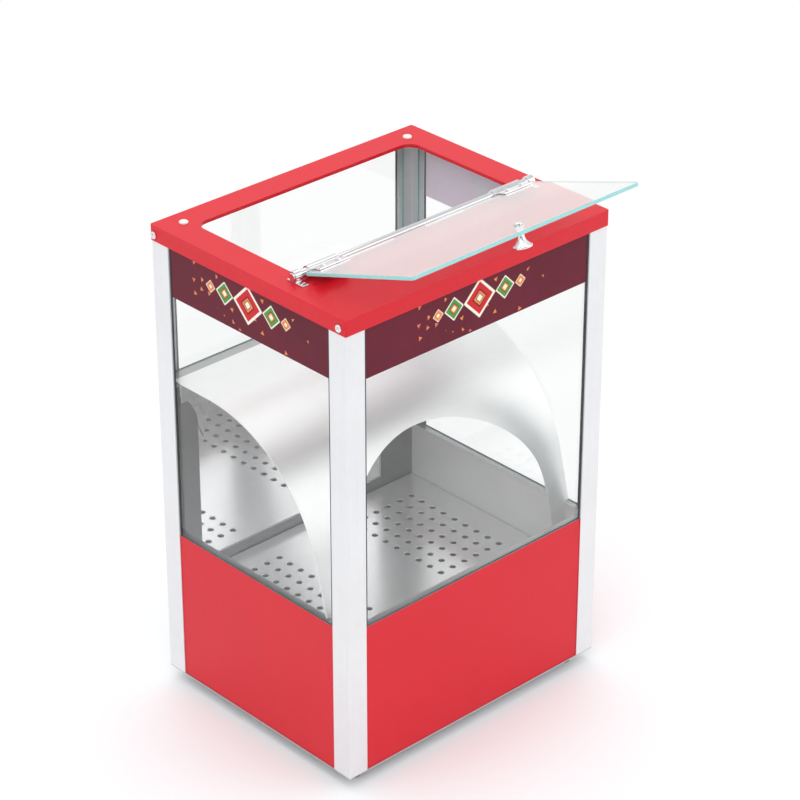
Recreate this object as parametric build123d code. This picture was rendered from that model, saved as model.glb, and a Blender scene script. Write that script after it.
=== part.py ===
"""Counter-top chip warmer: glazed red-framed cabinet on a casing, open lid, curved slide, rear hatch.

Millimetres, Z up. Origin: centre of the base plate's underside. Front is -Y, the operator's side is +Y.
"""
from build123d import *
import os
from math import atan, cos, degrees, pi, radians, sin

# ---- driving dimensions ----
WIDTH = 370.0            # over the top frame's skirt
DEPTH = 300.0
TOP_Z = 545.0            # upper face of the top frame
SHEET = 1.2              # frame, posts, base, slide, floor
PANEL = 1.0              # lower panels and tray
SKIRT = 18.0
LEG = 25.0               # leg of a corner post
GASKET = 1.0
GASKET_SHOWS = 2.5       # sealing strip seen beyond the post
PANE_LAP = 8.0           # a pane's edge reaches this far behind the post's leg
GLASS = 4.0
PANE_FOOT = 180.0        # lower edge of the front and side panes
PANE_TOP = TOP_Z - SHEET - 1.8
FLANGE = 12.0            # turned-in top edge of the lower panels
FOOT_H = 15.0
FLAT_GAP = 0.3           # between sheets of different moving bodies
RUN_FIT = 0.05           # radial, on pins

# planes that follow from them
POST_X = WIDTH / 2 - SHEET
POST_Y = DEPTH / 2 - SHEET
LEG_X = POST_X - SHEET                   # inner face of a post's side leg = outer face of a side panel
LEG_Y = POST_Y - SHEET
PANE_X = LEG_X - GASKET                  # outer face of the side panes
PANE_Y = LEG_Y - GASKET
PANE_IN_X = PANE_X - GLASS
PANE_IN_Y = PANE_Y - GLASS

# top opening
SIDE_STRIP = 33.0        # frame left beside and behind the opening
FRONT_STRIP = 95.0       # frame left in front of it, which carries the lid
OPEN_HALF_X = WIDTH / 2 - SIDE_STRIP
OPEN_FRONT = FRONT_STRIP - DEPTH / 2
OPEN_REAR = DEPTH / 2 - SIDE_STRIP
OPEN_R = 15.0
CURL = 4.0               # depth of the opening's turned-down edge

# lid
HINGE_Y = OPEN_FRONT + 2.0
HINGE_Z = TOP_Z + 6.5
BAR_R = 4.5
BAR_HALF = OPEN_HALF_X + 17.0
SLEEVE_R = 6.2
LID_HALF = OPEN_HALF_X + 5.5
LID_START = 7.0          # glass edge from the hinge axis
LID_END = OPEN_REAR - HINGE_Y + 1.0
LID_TURN = 161.6         # from shut to thrown open
CLAMP_LEN = 40.0
CLAMP_OUT = LID_HALF - 8.5
CLAMP_IN = CLAMP_OUT - CLAMP_LEN
KNOB_X = 10.0
KNOB_D = LID_END - 27.0
KNOB_BORE_R = 2.0

# hatch side, slide and floor
SILL_TOP = 367.0
SILL_LOW = SILL_TOP - 22.0
SILL_FRONT = DEPTH / 2 - 34.0
SLIDE_HALF = PANE_IN_X - 0.5
SLIDE_BEND_Y = DEPTH / 2 - 80.0
SLIDE_R = DEPTH - 130.0  # underside radius, so that its foot stays behind the front pane
SLIDE_SWEEP = 76.0
ARCH_HALF = WIDTH / 2 - 38.0
ARCH_RISE = 112.0
ARCH_Z = SILL_TOP - 48.0 - ARCH_RISE
FLOOR_TOP = 105.0
HOLE_R, HOLE_PITCH = 3.5, 18.0
HOLE_SIDES = 8           # the small punchings are drawn eight-sided
HOLE_COLS, HOLE_ROWS = 6, 13
HOLE_LAST_X = WIDTH / 2 - 41.0
LEDGE, LEDGE_DROP = 16.0, 20.0           # legs of the angles that carry the floor
HATCH_HALF = POST_X - 51.8
HATCH_LOW = FLOOR_TOP + 13.0
HATCH_WIDE = POST_X - 28.8
HATCH_BEND = SILL_LOW - 49.0
HATCH_WIDE_Z = SILL_LOW - 12.0

# rear flap
FLAP_Y = LEG_Y + FLAT_GAP
FLAP_T = 1.5
FLAP_HALF = POST_X - LEG - 2.8
FLAP_LOW = HATCH_LOW - 10.0
FLAP_HIGH = SILL_LOW - 2.0
KNUCKLE_R = 3.55
PIN_R = 2.0
PIN_Y = FLAP_Y + KNUCKLE_R
PIN_Z = SILL_LOW + 3.0
HINGE_MID = FLAP_HALF - 56.0             # centre of each hinge from the middle
HINGE_STEP = 16.0        # width of one knuckle
HANDLE = (45.0, 30.0)    # half length and reach of the flap's handle
HANDLE_Z = FLAP_LOW + 42.0
STRAP_T, STRAP_W, STRAP_BEND, STRAP_FOOT = 3.0, 10.0, 8.0, 12.0

# crumb tray
TRAY_X0 = 35.0 - WIDTH / 2
TRAY_X1 = WIDTH / 2 - 87.0
TRAY_FRONT = 30.0 - DEPTH / 2
TRAY_Z0, TRAY_Z1 = 20.0, 60.0
PULL = (32.0, 24.0)      # half length and reach of the tray's pull

# electrics
BOX_X0 = TRAY_X1 + 6.0
BOX_X1 = WIDTH / 2 - 9.0
BOX_Y0 = DEPTH / 2 - 90.0
BOX_Z1 = FLOOR_TOP - 10.0
ROCKER_X = (BOX_X0 + 16.0, BOX_X0 + 38.0)
ROCKER_Z = 72.0
ROCKER_TILT = 8.0
SWITCH_HALF_X, SWITCH_HALF_Z = 6.7, 10.0
GLAND_X = BOX_X0 + 27.0
GLAND_Z, GLAND_R = 30.0, 8.0
ROD_R = 3.25
ROD_Z = FLOOR_TOP - 17.0
ROD_ENDS = (DEPTH / 2 - 32.0, DEPTH / 2 - 70.0)
ROD_SIDES = 8            # the long bent rod is drawn eight-sided
TURN_SIDES = 16          # small turned parts are drawn with this many flats

TOP_SCREW = (WIDTH / 2 - 27.0, DEPTH / 2 - 22.0)
SKIRT_SCREW_Y = (9.7 - DEPTH / 2, DEPTH / 2 - 6.0)
SKIRT_SCREW_Z = TOP_Z - 11.0
SHANK_R, SHANK_PLAY = 2.0, 0.2
FOOT_POS = (WIDTH / 2 - 25.0, DEPTH / 2 - 25.0)


# ---- helpers ----
def block(x0, x1, y0, y1, z0, z1):
    """A box given by its six faces."""
    centre = ((x0 + x1) / 2, (y0 + y1) / 2, (z0 + z1) / 2)
    return Pos(*centre) * Box(x1 - x0, y1 - y0, z1 - z0)


def along_x(profile, x0, x1):
    """Profile drawn as (y, z), run from x0 to x1."""
    return extrude(Plane.YZ.offset(x0) * profile, amount=x1 - x0, dir=(1, 0, 0))


def along_y(profile, y0, y1):
    """Profile drawn as (x, z), run from y0 to y1."""
    return extrude(Plane.XZ.offset(-y0) * profile, amount=y1 - y0, dir=(0, 1, 0))


def along_z(profile, z0, z1):
    """Profile drawn as (x, y), run from z0 to z1."""
    return extrude(Plane.XY.offset(z0) * profile, amount=z1 - z0, dir=(0, 0, 1))


def rect(x0, x1, y0, y1):
    """Rectangle by its four sides."""
    return Pos((x0 + x1) / 2, (y0 + y1) / 2) * Rectangle(abs(x1 - x0), abs(y1 - y0))


def disc(x, y, radius):
    """Circle at a point of the drawing plane."""
    return Pos(x, y) * Circle(radius)


def screw_hole(x, y):
    """Twelve-sided clearance hole for a screw's shank, at a point of the drawing plane."""
    return Pos(x, y) * RegularPolygon(SHANK_R + SHANK_PLAY, 12)


def turned(points, sides=TURN_SIDES):
    """Many-sided solid about Z through rising (radius, height) points; a step repeats the height."""
    body = None
    for (r0, z0), (r1, z1) in zip(points, points[1:]):
        if z1 > z0:
            lean = degrees(atan(abs(r0 - r1) * cos(pi / sides) / (z1 - z0)))
            band = extrude(RegularPolygon(max(r0, r1), sides), amount=z1 - z0, taper=lean)
            band = Pos(0, 0, z0) * band if r0 >= r1 else Pos(0, 0, z1) * Rot(180, 0, 0) * band
            body = band if body is None else body + band
    return body


def flipped(shape):
    """Copy on the other side of the middle plane X = 0."""
    return mirror(shape, about=Plane.YZ)


def both_sides(shape):
    """The piece and its mirrored twin as separate solids."""
    return [shape, flipped(shape)]


def save(name, solids):
    """Write one node; separate solids stay separate."""
    items = solids if isinstance(solids, list) else [solids]
    found = [s for item in items for s in item.solids()]
    export_step(found[0] if len(found) == 1 else Compound(children=found), f"parts/{name}.step")


def pan_screw(head_r, head_h, shank_len):
    """Cross-head screw: head above Z = 0, shank below."""
    head = turned([(head_r, 0), (head_r, head_h * 0.45), (head_r * 0.6, head_h)], 12)
    for turn in (0, 90):
        head -= Pos(0, 0, head_h) * Rot(0, 0, turn) * Box(head_r * 1.1, 0.9, head_h)
    return head + Pos(0, 0, -shank_len) * extrude(RegularPolygon(SHANK_R, 8), amount=shank_len)


# ---- cabinet frame ----
def make_top_frame():
    """Flat top with a skirt round it and a turned-down edge round the opening."""
    frame = block(-WIDTH / 2, WIDTH / 2, -DEPTH / 2, DEPTH / 2, TOP_Z - SKIRT, TOP_Z)
    frame = fillet(frame.edges().filter_by(Axis.Z), 2.0)
    frame -= block(-POST_X, POST_X, -POST_Y, POST_Y, TOP_Z - SKIRT - 1, TOP_Z - SHEET)
    mid = (OPEN_FRONT + OPEN_REAR) / 2
    span = OPEN_REAR - OPEN_FRONT
    hole = Pos(0, mid) * RectangleRounded(2 * OPEN_HALF_X, span, OPEN_R)
    rim = Pos(0, mid) * RectangleRounded(2 * (OPEN_HALF_X + SHEET), span + 2 * SHEET, OPEN_R + SHEET)
    frame += along_z(rim, TOP_Z - CURL, TOP_Z - SHEET)
    frame -= along_z(hole, TOP_Z - CURL - 1, TOP_Z + 1)
    for side in (-1, 1):
        frame -= along_z(screw_hole(side * TOP_SCREW[0], TOP_SCREW[1]), TOP_Z - SHEET - 1, TOP_Z + 1)
        for y in SKIRT_SCREW_Y:
            edge = side * WIDTH / 2
            frame -= along_x(screw_hole(y, SKIRT_SCREW_Z), edge - 3, edge + 3)
    return frame


def make_post(rear):
    """Right-hand corner post; the rear one has a folded tab for the top screw."""
    outer = rect(POST_X - LEG, POST_X, POST_Y - LEG, POST_Y)
    inner = rect(POST_X - LEG - 1, LEG_X, POST_Y - LEG - 1, LEG_Y)
    angle = along_z(outer - inner, SHEET, TOP_Z - SHEET)
    if rear:
        angle += block(OPEN_HALF_X + 2, LEG_X, OPEN_REAR + 2, LEG_Y, TOP_Z - 2 * SHEET, TOP_Z - SHEET)
        angle -= along_z(screw_hole(*TOP_SCREW), TOP_Z - 5, TOP_Z)
    else:
        angle = mirror(angle, about=Plane.XZ)
    y = SKIRT_SCREW_Y[1 if rear else 0]
    return angle - along_x(screw_hole(y, SKIRT_SCREW_Z), LEG_X - 1, POST_X + 1)


def make_gaskets(rear):
    """Two right-hand sealing strips, one on each leg of a post."""
    near, far = LEG + GASKET_SHOWS, LEG - PANE_LAP
    side_strip = block(PANE_X, LEG_X, POST_Y - near, POST_Y - far, PANE_FOOT, PANE_TOP)
    low = SILL_TOP if rear else PANE_FOOT
    end_strip = block(POST_X - near, POST_X - far, PANE_Y, LEG_Y, low, PANE_TOP)
    strips = [side_strip, end_strip]
    return strips if rear else [mirror(strip, about=Plane.XZ) for strip in strips]


def make_pane(x0, x1, y0, y1, low):
    """One glass pane with eased edges."""
    pane = block(x0, x1, y0, y1, low, PANE_TOP)
    return chamfer(pane.edges(), 0.4)


def make_signs():
    """Thin printed bands on the outer faces of the front and side panes."""
    low, high, film = TOP_Z - 75, TOP_Z - 4, 0.5
    half_x = POST_X - LEG - GASKET_SHOWS - 0.3
    half_y = POST_Y - LEG - GASKET_SHOWS - 0.3
    front = block(-half_x, half_x, -PANE_Y - film, -PANE_Y, low, high)
    right = block(PANE_X, PANE_X + film, -half_y, half_y, low, high)
    return front, right


# ---- lid ----
def placed_lid(shape):
    """Turn a piece drawn with the lid shut (y away from the axis, z up) to the open rest position."""
    return Pos(0, HINGE_Y, HINGE_Z) * Rot(LID_TURN, 0, 0) * shape


def make_lid():
    """Glass, its clamps, knob and knob screw, all in the open position."""
    glass = block(-LID_HALF, LID_HALF, LID_START, LID_END, -GLASS / 2, GLASS / 2)
    glass = fillet(glass.edges().filter_by(Axis.Z), 4.0)
    glass = chamfer(glass.faces().filter_by(Axis.Z).edges(), 0.5)
    glass -= Pos(KNOB_X, KNOB_D) * Cylinder(KNOB_BORE_R + 0.5, GLASS + 2)

    jaw = GLASS / 2 + 1.6
    profile = disc(0, 0, SLEEVE_R) + rect(0, 22, -jaw, jaw)
    profile -= rect(LID_START, 23, -GLASS / 2, GLASS / 2)
    profile -= disc(0, 0, BAR_R + RUN_FIT)
    clamp = along_x(profile, CLAMP_IN, CLAMP_OUT)
    for x in (CLAMP_IN + 10, CLAMP_OUT - 10):
        nut = extrude(RegularPolygon(3.2, 6), amount=2 * jaw + 3)
        nut -= block(-4, 4, -4, 4, 1.7, 2 * jaw + 1.3)
        for solid in (Pos(x, 15, -jaw - 1.5) * nut).solids():
            clamp += solid

    knob = turned([(6, 0), (6, 1.2), (4.2, 4), (4.2, 10),
                   (6.2, 14.5), (10.5, 17.6), (10.5, 19.2), (9.8, 20)])
    knob -= Pos(0, 0, 4) * Cylinder(KNOB_BORE_R, 8)
    knob = Pos(KNOB_X, KNOB_D, GLASS / 2) * knob
    screw = Rot(180, 0, 0) * pan_screw(4.6, 2.6, GLASS + 7)
    screw = Pos(KNOB_X, KNOB_D, -GLASS / 2) * screw
    return (placed_lid(glass), [placed_lid(c) for c in both_sides(clamp)],
            placed_lid(knob), placed_lid(screw))


def make_hinge_bar():
    """Round bar across the front edge of the opening."""
    bar = Pos(0, HINGE_Y, HINGE_Z) * Rot(0, 90, 0) * Cylinder(BAR_R, 2 * BAR_HALF)
    return chamfer(bar.edges().filter_by(GeomType.CIRCLE), 0.7)


def make_bar_bracket():
    """Foot on the top frame with an eye that grips the bar."""
    x0, x1 = LID_HALF + 2, BAR_HALF - 1.5
    profile = disc(HINGE_Y, HINGE_Z, SLEEVE_R)
    profile += rect(HINGE_Y - 4.5, HINGE_Y + 4.5, TOP_Z, HINGE_Z)
    profile += rect(HINGE_Y - 15, HINGE_Y + 9, TOP_Z, TOP_Z + 1.5)
    profile -= disc(HINGE_Y, HINGE_Z, BAR_R)
    return along_x(profile, x0, x1)


# ---- slide, sill and floor ----
def make_sill():
    """Channel across the rear; the rear pane stands on it and the slide lies over it."""
    half = SLIDE_HALF
    top = block(-half, half, SILL_FRONT, LEG_Y, SILL_TOP - SHEET, SILL_TOP)
    lip = block(-half, half, SILL_FRONT, SILL_FRONT + SHEET, SILL_LOW, SILL_TOP)
    web = block(-half, half, LEG_Y - SHEET, LEG_Y, SILL_LOW, SILL_TOP)
    return top + lip + web


def make_slide():
    """Curved slide: level over the sill, round a big bend, then steeply down to the floor; arch mouth."""
    t = SHEET
    turn = radians(SLIDE_SWEEP)
    cy, cz = SLIDE_BEND_Y, SILL_TOP - SLIDE_R

    def on_bend(r, a):
        return (cy - r * sin(a), cz + r * cos(a))

    def at_floor(point):
        return (point[0] - (point[1] - FLOOR_TOP) * cos(turn) / sin(turn), FLOOR_TOP)

    r_in, r_out = SLIDE_R, SLIDE_R + t
    rear = SILL_FRONT + 12
    in_end, out_end = on_bend(r_in, turn), on_bend(r_out, turn)
    in_foot, out_foot = at_floor(in_end), at_floor(out_end)
    toe = (out_foot[0] - 10, FLOOR_TOP)
    shank = (out_foot[0] + t * cos(turn) / sin(turn), FLOOR_TOP + t)
    outline = [
        Line((rear, SILL_TOP), (cy, SILL_TOP)),
        ThreePointArc((cy, SILL_TOP), on_bend(r_in, turn / 2), in_end),
        Line(in_end, in_foot),
        Line(in_foot, toe),
        Line(toe, (toe[0], FLOOR_TOP + t)),
        Line((toe[0], FLOOR_TOP + t), shank),
        Line(shank, out_end),
        ThreePointArc(out_end, on_bend(r_out, turn / 2), (cy, SILL_TOP + t)),
        Line((cy, SILL_TOP + t), (rear, SILL_TOP + t)),
        Line((rear, SILL_TOP + t), (rear, SILL_TOP)),
    ]
    sheet = along_x(make_face(outline), -SLIDE_HALF, SLIDE_HALF)
    oval = Pos(0, ARCH_Z) * Ellipse(ARCH_HALF, ARCH_RISE)
    mouth = oval + rect(-ARCH_HALF, ARCH_HALF, FLOOR_TOP - 5, ARCH_Z)
    sheet -= along_y(mouth, -PANE_IN_Y, PANE_IN_Y)
    narrow = LEG_X - FLANGE - 1.2
    for side in both_sides(block(narrow, SLIDE_HALF + 1, -PANE_IN_Y, 0, FLOOR_TOP - 1, PANE_FOOT + 2)):
        sheet -= side
    return sheet


def make_floor():
    """Sheet with two fields of round holes and turned-down front and rear edges."""
    half_x, half_y = LEG_X - 2.4, LEG_Y - 2.6
    floor = block(-half_x, half_x, -half_y, half_y, FLOOR_TOP - SHEET, FLOOR_TOP)
    for y0 in (-half_y, half_y - SHEET):
        floor += block(-half_x, half_x, y0, y0 + SHEET, FLOOR_TOP - 10, FLOOR_TOP)
    mid_x = HOLE_LAST_X - (HOLE_COLS - 1) * HOLE_PITCH / 2
    for side in (-1, 1):
        grid = GridLocations(HOLE_PITCH, HOLE_PITCH, HOLE_COLS, HOLE_ROWS)
        punch = RegularPolygon(HOLE_R, HOLE_SIDES)
        holes = Sketch() + [Pos(side * mid_x, 0) * spot * punch for spot in grid]
        floor -= along_z(holes, FLOOR_TOP - SHEET - 1, FLOOR_TOP + 1)
    return floor


def make_floor_support():
    """Right-hand angle that carries the floor."""
    inner = LEG_X - PANEL
    half_y = LEG_Y - 4.6
    top = FLOOR_TOP - SHEET
    leg = block(inner - SHEET, inner, -half_y, half_y, top - LEDGE_DROP, top)
    return leg + block(inner - LEDGE, inner, -half_y, half_y, top - SHEET, top)


# ---- casing ----
def make_front_panel():
    """Lower front panel with its turned-in top edge."""
    half = LEG_X - PANEL
    panel = block(-half, half, -LEG_Y, -LEG_Y + PANEL, SHEET, PANE_FOOT)
    inset = LEG_X - FLANGE - 1.2
    return panel + block(-inset, inset, -LEG_Y, -LEG_Y + FLANGE, PANE_FOOT - PANEL, PANE_FOOT)


def make_right_panel():
    """Lower right panel with its turned-in top edge."""
    panel = block(LEG_X - PANEL, LEG_X, -LEG_Y, LEG_Y, SHEET, PANE_FOOT)
    return panel + block(LEG_X - FLANGE, LEG_X, -PANE_Y, PANE_Y, PANE_FOOT - PANEL, PANE_FOOT)


def make_rear_panel():
    """Rear panel: hatch with flared shoulders, cut-outs for tray, switches and cord entry."""
    half = LEG_X - PANEL
    panel = block(-half, half, LEG_Y - PANEL, LEG_Y, SHEET, SILL_LOW)
    bend_mid = ((HATCH_HALF + HATCH_WIDE) / 2 - 3.5, (HATCH_BEND + HATCH_WIDE_Z) / 2 + 2.0)
    right = [
        Line((0, HATCH_LOW), (HATCH_HALF, HATCH_LOW)),
        Line((HATCH_HALF, HATCH_LOW), (HATCH_HALF, HATCH_BEND)),
        ThreePointArc((HATCH_HALF, HATCH_BEND), bend_mid, (HATCH_WIDE, HATCH_WIDE_Z)),
        Line((HATCH_WIDE, HATCH_WIDE_Z), (HATCH_WIDE, SILL_LOW + 1)),
        Line((HATCH_WIDE, SILL_LOW + 1), (0, SILL_LOW + 1)),
        Line((0, SILL_LOW + 1), (0, HATCH_LOW)),
    ]
    cut = along_y(make_face(right), LEG_Y - PANEL - 1, LEG_Y + 1)
    for part in both_sides(cut):
        panel -= part
    panel -= block(TRAY_X0 - 2, TRAY_X1 + 2, PANE_Y - 1, LEG_Y + 1, TRAY_Z0 - 2, TRAY_Z1 + 3)
    for x in ROCKER_X:
        panel -= block(x - SWITCH_HALF_X - 0.1, x + SWITCH_HALF_X + 0.1, PANE_Y - 1, LEG_Y + 1,
                       ROCKER_Z - SWITCH_HALF_Z - 0.1, ROCKER_Z + SWITCH_HALF_Z + 0.1)
    return panel - along_y(disc(GLAND_X, GLAND_Z, GLAND_R), PANE_Y - 1, LEG_Y + 1)


def make_base():
    """Base plate with an upstand inside the lower panels."""
    plate = block(-POST_X, POST_X, -POST_Y, POST_Y, 0, SHEET)
    ox, oy = LEG_X - PANEL, LEG_Y - PANEL
    ring = rect(-ox, ox, -oy, oy) - rect(-ox + SHEET, ox - SHEET, -oy + SHEET, oy - SHEET)
    return plate + along_z(ring, 0, 15)


def make_feet():
    """Four tapered rubber feet."""
    foot = turned([(10, -FOOT_H), (12.5, -2), (12.5, 0)])
    x, y = FOOT_POS
    return [Pos(sx * x, sy * y) * foot for sx in (-1, 1) for sy in (-1, 1)]


# ---- rear flap ----
def make_flap():
    """Hatch flap with rolled knuckles at its top edge."""
    flap = block(-FLAP_HALF, FLAP_HALF, FLAP_Y, FLAP_Y + FLAP_T, FLAP_LOW, FLAP_HIGH)
    corners = flap.edges().filter_by(Axis.Y).group_by(Axis.Z)[0]
    flap = fillet(corners, 8.0)
    for side in (-1, 1):
        for step in (-1, 1):
            mid = side * HINGE_MID + step * HINGE_STEP
            x0, x1 = mid - HINGE_STEP / 2 + 0.2, mid + HINGE_STEP / 2 - 0.2
            roll = disc(PIN_Y, PIN_Z, KNUCKLE_R) + rect(FLAP_Y, FLAP_Y + FLAP_T, FLAP_HIGH, PIN_Z)
            roll -= disc(PIN_Y, PIN_Z, PIN_R + RUN_FIT)
            flap += along_x(roll, x0, x1)
    return flap


def make_flap_brackets():
    """Fixed knuckles on the sill rail's rear face."""
    x0, x1 = HINGE_MID - HINGE_STEP / 2 + 0.2, HINGE_MID + HINGE_STEP / 2 - 0.2
    roll = disc(PIN_Y, PIN_Z, PIN_Y - LEG_Y)
    roll += rect(LEG_Y, LEG_Y + FLAP_T, PIN_Z, SILL_TOP - 3)
    roll -= disc(PIN_Y, PIN_Z, PIN_R)
    return both_sides(along_x(roll, x0, x1))


def make_flap_pins():
    """One headed pin for each hinge."""
    half = 1.5 * HINGE_STEP + 0.6
    pin = Cylinder(PIN_R, 2 * half)
    for end in (-half - 1.2, half):
        pin += Pos(0, 0, end) * extrude(RegularPolygon(PIN_R + 1.0, 12), amount=1.2)
    return both_sides(Pos(HINGE_MID, PIN_Y, PIN_Z) * Rot(0, 90, 0) * pin)


def strap_handle(half, reach, y, z):
    """Flat-bar handle bent to a bow, with a foot at each end, standing out from a face at y."""
    thick, bend, foot = STRAP_T, STRAP_BEND, STRAP_FOOT
    outer = rect(-half, half, y, y + reach)
    outer = fillet(outer.vertices().group_by(Axis.Y)[-1], bend + thick)
    inner = rect(thick - half, half - thick, y - 1, y + reach - thick)
    inner = fillet(inner.vertices().group_by(Axis.Y)[-1], bend)
    bow = outer - inner
    for side in (-1, 1):
        bow += rect(side * half, side * (half + foot), y, y + thick)
    return along_z(bow, z - STRAP_W / 2, z + STRAP_W / 2)


# ---- crumb tray ----
def make_tray():
    """Open tray with a front plate that covers its cut-out in the rear panel."""
    tray = block(TRAY_X0, TRAY_X1, TRAY_FRONT, FLAP_Y, TRAY_Z0, TRAY_Z1)
    tray -= block(TRAY_X0 + PANEL, TRAY_X1 - PANEL, TRAY_FRONT + PANEL, FLAP_Y - PANEL,
                  TRAY_Z0 + PANEL, TRAY_Z1 + 1)
    plate = block(TRAY_X0 - 4, TRAY_X1 + 4, FLAP_Y, FLAP_Y + FLAP_T, TRAY_Z0 - 4, TRAY_Z1 + 5)
    return tray + fillet(plate.edges().filter_by(Axis.Y), 3.0)


def make_runners():
    """Two angles on the base plate that carry and guide the tray."""
    y0, y1 = TRAY_FRONT - 15, LEG_Y - 3
    guide = block(TRAY_X0 - 1.5, TRAY_X0 - 0.3, y0, y1, SHEET, TRAY_Z0 + 10)
    guide += block(TRAY_X0 - 1.5, TRAY_X0 + 12, y0, y1, TRAY_Z0 - 1.4, TRAY_Z0 - 0.2)
    mid = (TRAY_X0 + TRAY_X1) / 2
    return [guide, mirror(guide, about=Plane.YZ.offset(mid))]


# ---- electrics ----
def make_control_box():
    """Sheet housing for the wiring, open towards the rear panel."""
    y1 = LEG_Y - PANEL - SHEET - 0.2
    box = block(BOX_X0, BOX_X1, BOX_Y0, y1, SHEET, BOX_Z1)
    box -= block(BOX_X0 + SHEET, BOX_X1 - SHEET, BOX_Y0 + SHEET, y1 + 1, 2 * SHEET, BOX_Z1 - SHEET)
    for y in ROD_ENDS:
        box -= along_x(disc(y, ROD_Z, ROD_R + 0.3), BOX_X0 - 1, BOX_X0 + 3)
    return box


def make_heater():
    """Bent tubular element: one long loop under the floor, both ends in the control box."""
    end = BOX_X0 + 10
    side, front = WIDTH / 2 - 35, DEPTH / 2 - 50
    rear, inner = ROD_ENDS
    turn_y, turn_x = inner - 50, BOX_X0 - 44
    points = [(end, rear), (-side, rear), (-side, -front), (side, -front), (side, turn_y),
              (turn_x, turn_y), (turn_x, inner), (end, inner)]
    path = FilletPolyline(*[(x, y, ROD_Z) for x, y in points], radius=20)
    section = Plane(origin=(end, rear, ROD_Z), z_dir=(-1, 0, 0)) * RegularPolygon(ROD_R, ROD_SIDES)
    return sweep(section, path=path)


def make_heater_clips():
    """Clips that hang the element from the floor."""
    under = FLOOR_TOP - SHEET
    eye = Pos(0, ROD_Z) * RegularPolygon(ROD_R + SHEET, ROD_SIDES)
    ring = eye + rect(-0.6, 0.6, ROD_Z, under) + rect(-6, 6, under - SHEET, under)
    clip = along_x(ring - Pos(0, ROD_Z) * RegularPolygon(ROD_R + 0.2, ROD_SIDES), -5, 5)
    across = Rot(0, 0, 90) * clip
    side, front = WIDTH / 2 - 35, DEPTH / 2 - 50
    between = HOLE_PITCH / 2
    return [Pos(0, ROD_ENDS[0]) * clip, Pos(0, -front) * clip,
            Pos(-side, between) * across, Pos(side, -3 * between) * across]


def make_thermostat():
    """Round switching body on the front wall of the control box."""
    body = turned([(12, 0), (12, 2), (9, 2), (9, 11), (7, 13)])
    for x in (-4, 4):
        body += block(x - 0.4, x + 0.4, -2.4, 2.4, 12, 19)
    return Pos((BOX_X0 + BOX_X1) / 2, BOX_Y0, 62) * Rot(90, 0, 0) * body


def make_switch_body(x):
    """Rocker switch housing with a bezel, a well and holes for the rocker's pivots."""
    outer = LEG_Y + 2.0
    body = block(x - SWITCH_HALF_X, x + SWITCH_HALF_X, LEG_Y - 22, outer,
                 ROCKER_Z - SWITCH_HALF_Z, ROCKER_Z + SWITCH_HALF_Z)
    bezel = block(x - SWITCH_HALF_X - 1.4, x + SWITCH_HALF_X + 1.4, LEG_Y, outer,
                  ROCKER_Z - SWITCH_HALF_Z - 1.4, ROCKER_Z + SWITCH_HALF_Z + 1.4)
    body += chamfer(bezel.edges().filter_by(Axis.Y), 1.2)
    body -= block(x - 5.6, x + 5.6, outer - 11, outer + 1, ROCKER_Z - 8.95, ROCKER_Z + 8.95)
    return body - along_x(disc(outer - 5, ROCKER_Z, 1.0 + RUN_FIT), x - 6.3, x + 6.3)


def make_rocker(x):
    """Two-faced rocker on its pivot, tilted to the off position."""
    profile = Polygon((5.9, 8.0), (4.6, 0), (5.9, -8.0), (1.0, -7.0), (-2.5, -3), (-2.5, 3), (1.0, 7.0),
                      align=None)
    rocker = along_x(profile, -5.4, 5.4) + along_x(disc(0, 0, 1.0), -6.2, 6.2)
    return Pos(x, LEG_Y + 2.0 - 5, ROCKER_Z) * Rot(-ROCKER_TILT, 0, 0) * rocker


def make_gland():
    """Cord entry: flanged bush through the rear panel with a nut inside."""
    bush = turned([(GLAND_R, -9), (GLAND_R, 0), (11, 0), (11, 3), (7, 11)])
    bush += Pos(0, 0, -PANEL - 4) * extrude(RegularPolygon(11, 6), amount=4)
    bush -= Pos(0, 0, -10) * extrude(RegularPolygon(4, TURN_SIDES), amount=22)
    return Pos(GLAND_X, LEG_Y, GLAND_Z) * Rot(-90, 0, 0) * bush


# ---- lamp under the front strip ----
def make_lamp():
    """Trough reflector, tube and the two holders."""
    roof = TOP_Z - SHEET
    mid = (OPEN_FRONT - DEPTH / 2) / 2 + 2.5
    half, wall = WIDTH / 2 - 35, 0.8
    reach = half - 22                    # end of the tube

    def section(top, foot, high, low):
        return Polygon((mid - top, high), (mid + top, high), (mid + foot, low), (mid - foot, low),
                       align=None)

    shell = section(18, 28, roof, roof - 24)
    core = section(18 - wall, 28 - wall, roof - wall, roof - 25)
    trough = along_x(shell, -half, half) - along_x(core, -half + wall, half - wall)
    tube_z = roof - 14
    tube = Pos(0, mid, tube_z) * Rot(0, 90, 0) * Cylinder(6.5, 2 * reach)
    holder = block(reach - 6, reach + 12, mid - 10, mid + 10, tube_z - 10, roof - wall)
    holder = chamfer(holder.edges().filter_by(Axis.X).group_by(Axis.Z)[0], 5.0)
    holder -= along_x(disc(mid, tube_z, 6.5), reach - 7, reach)
    return trough, tube, both_sides(holder)


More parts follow.
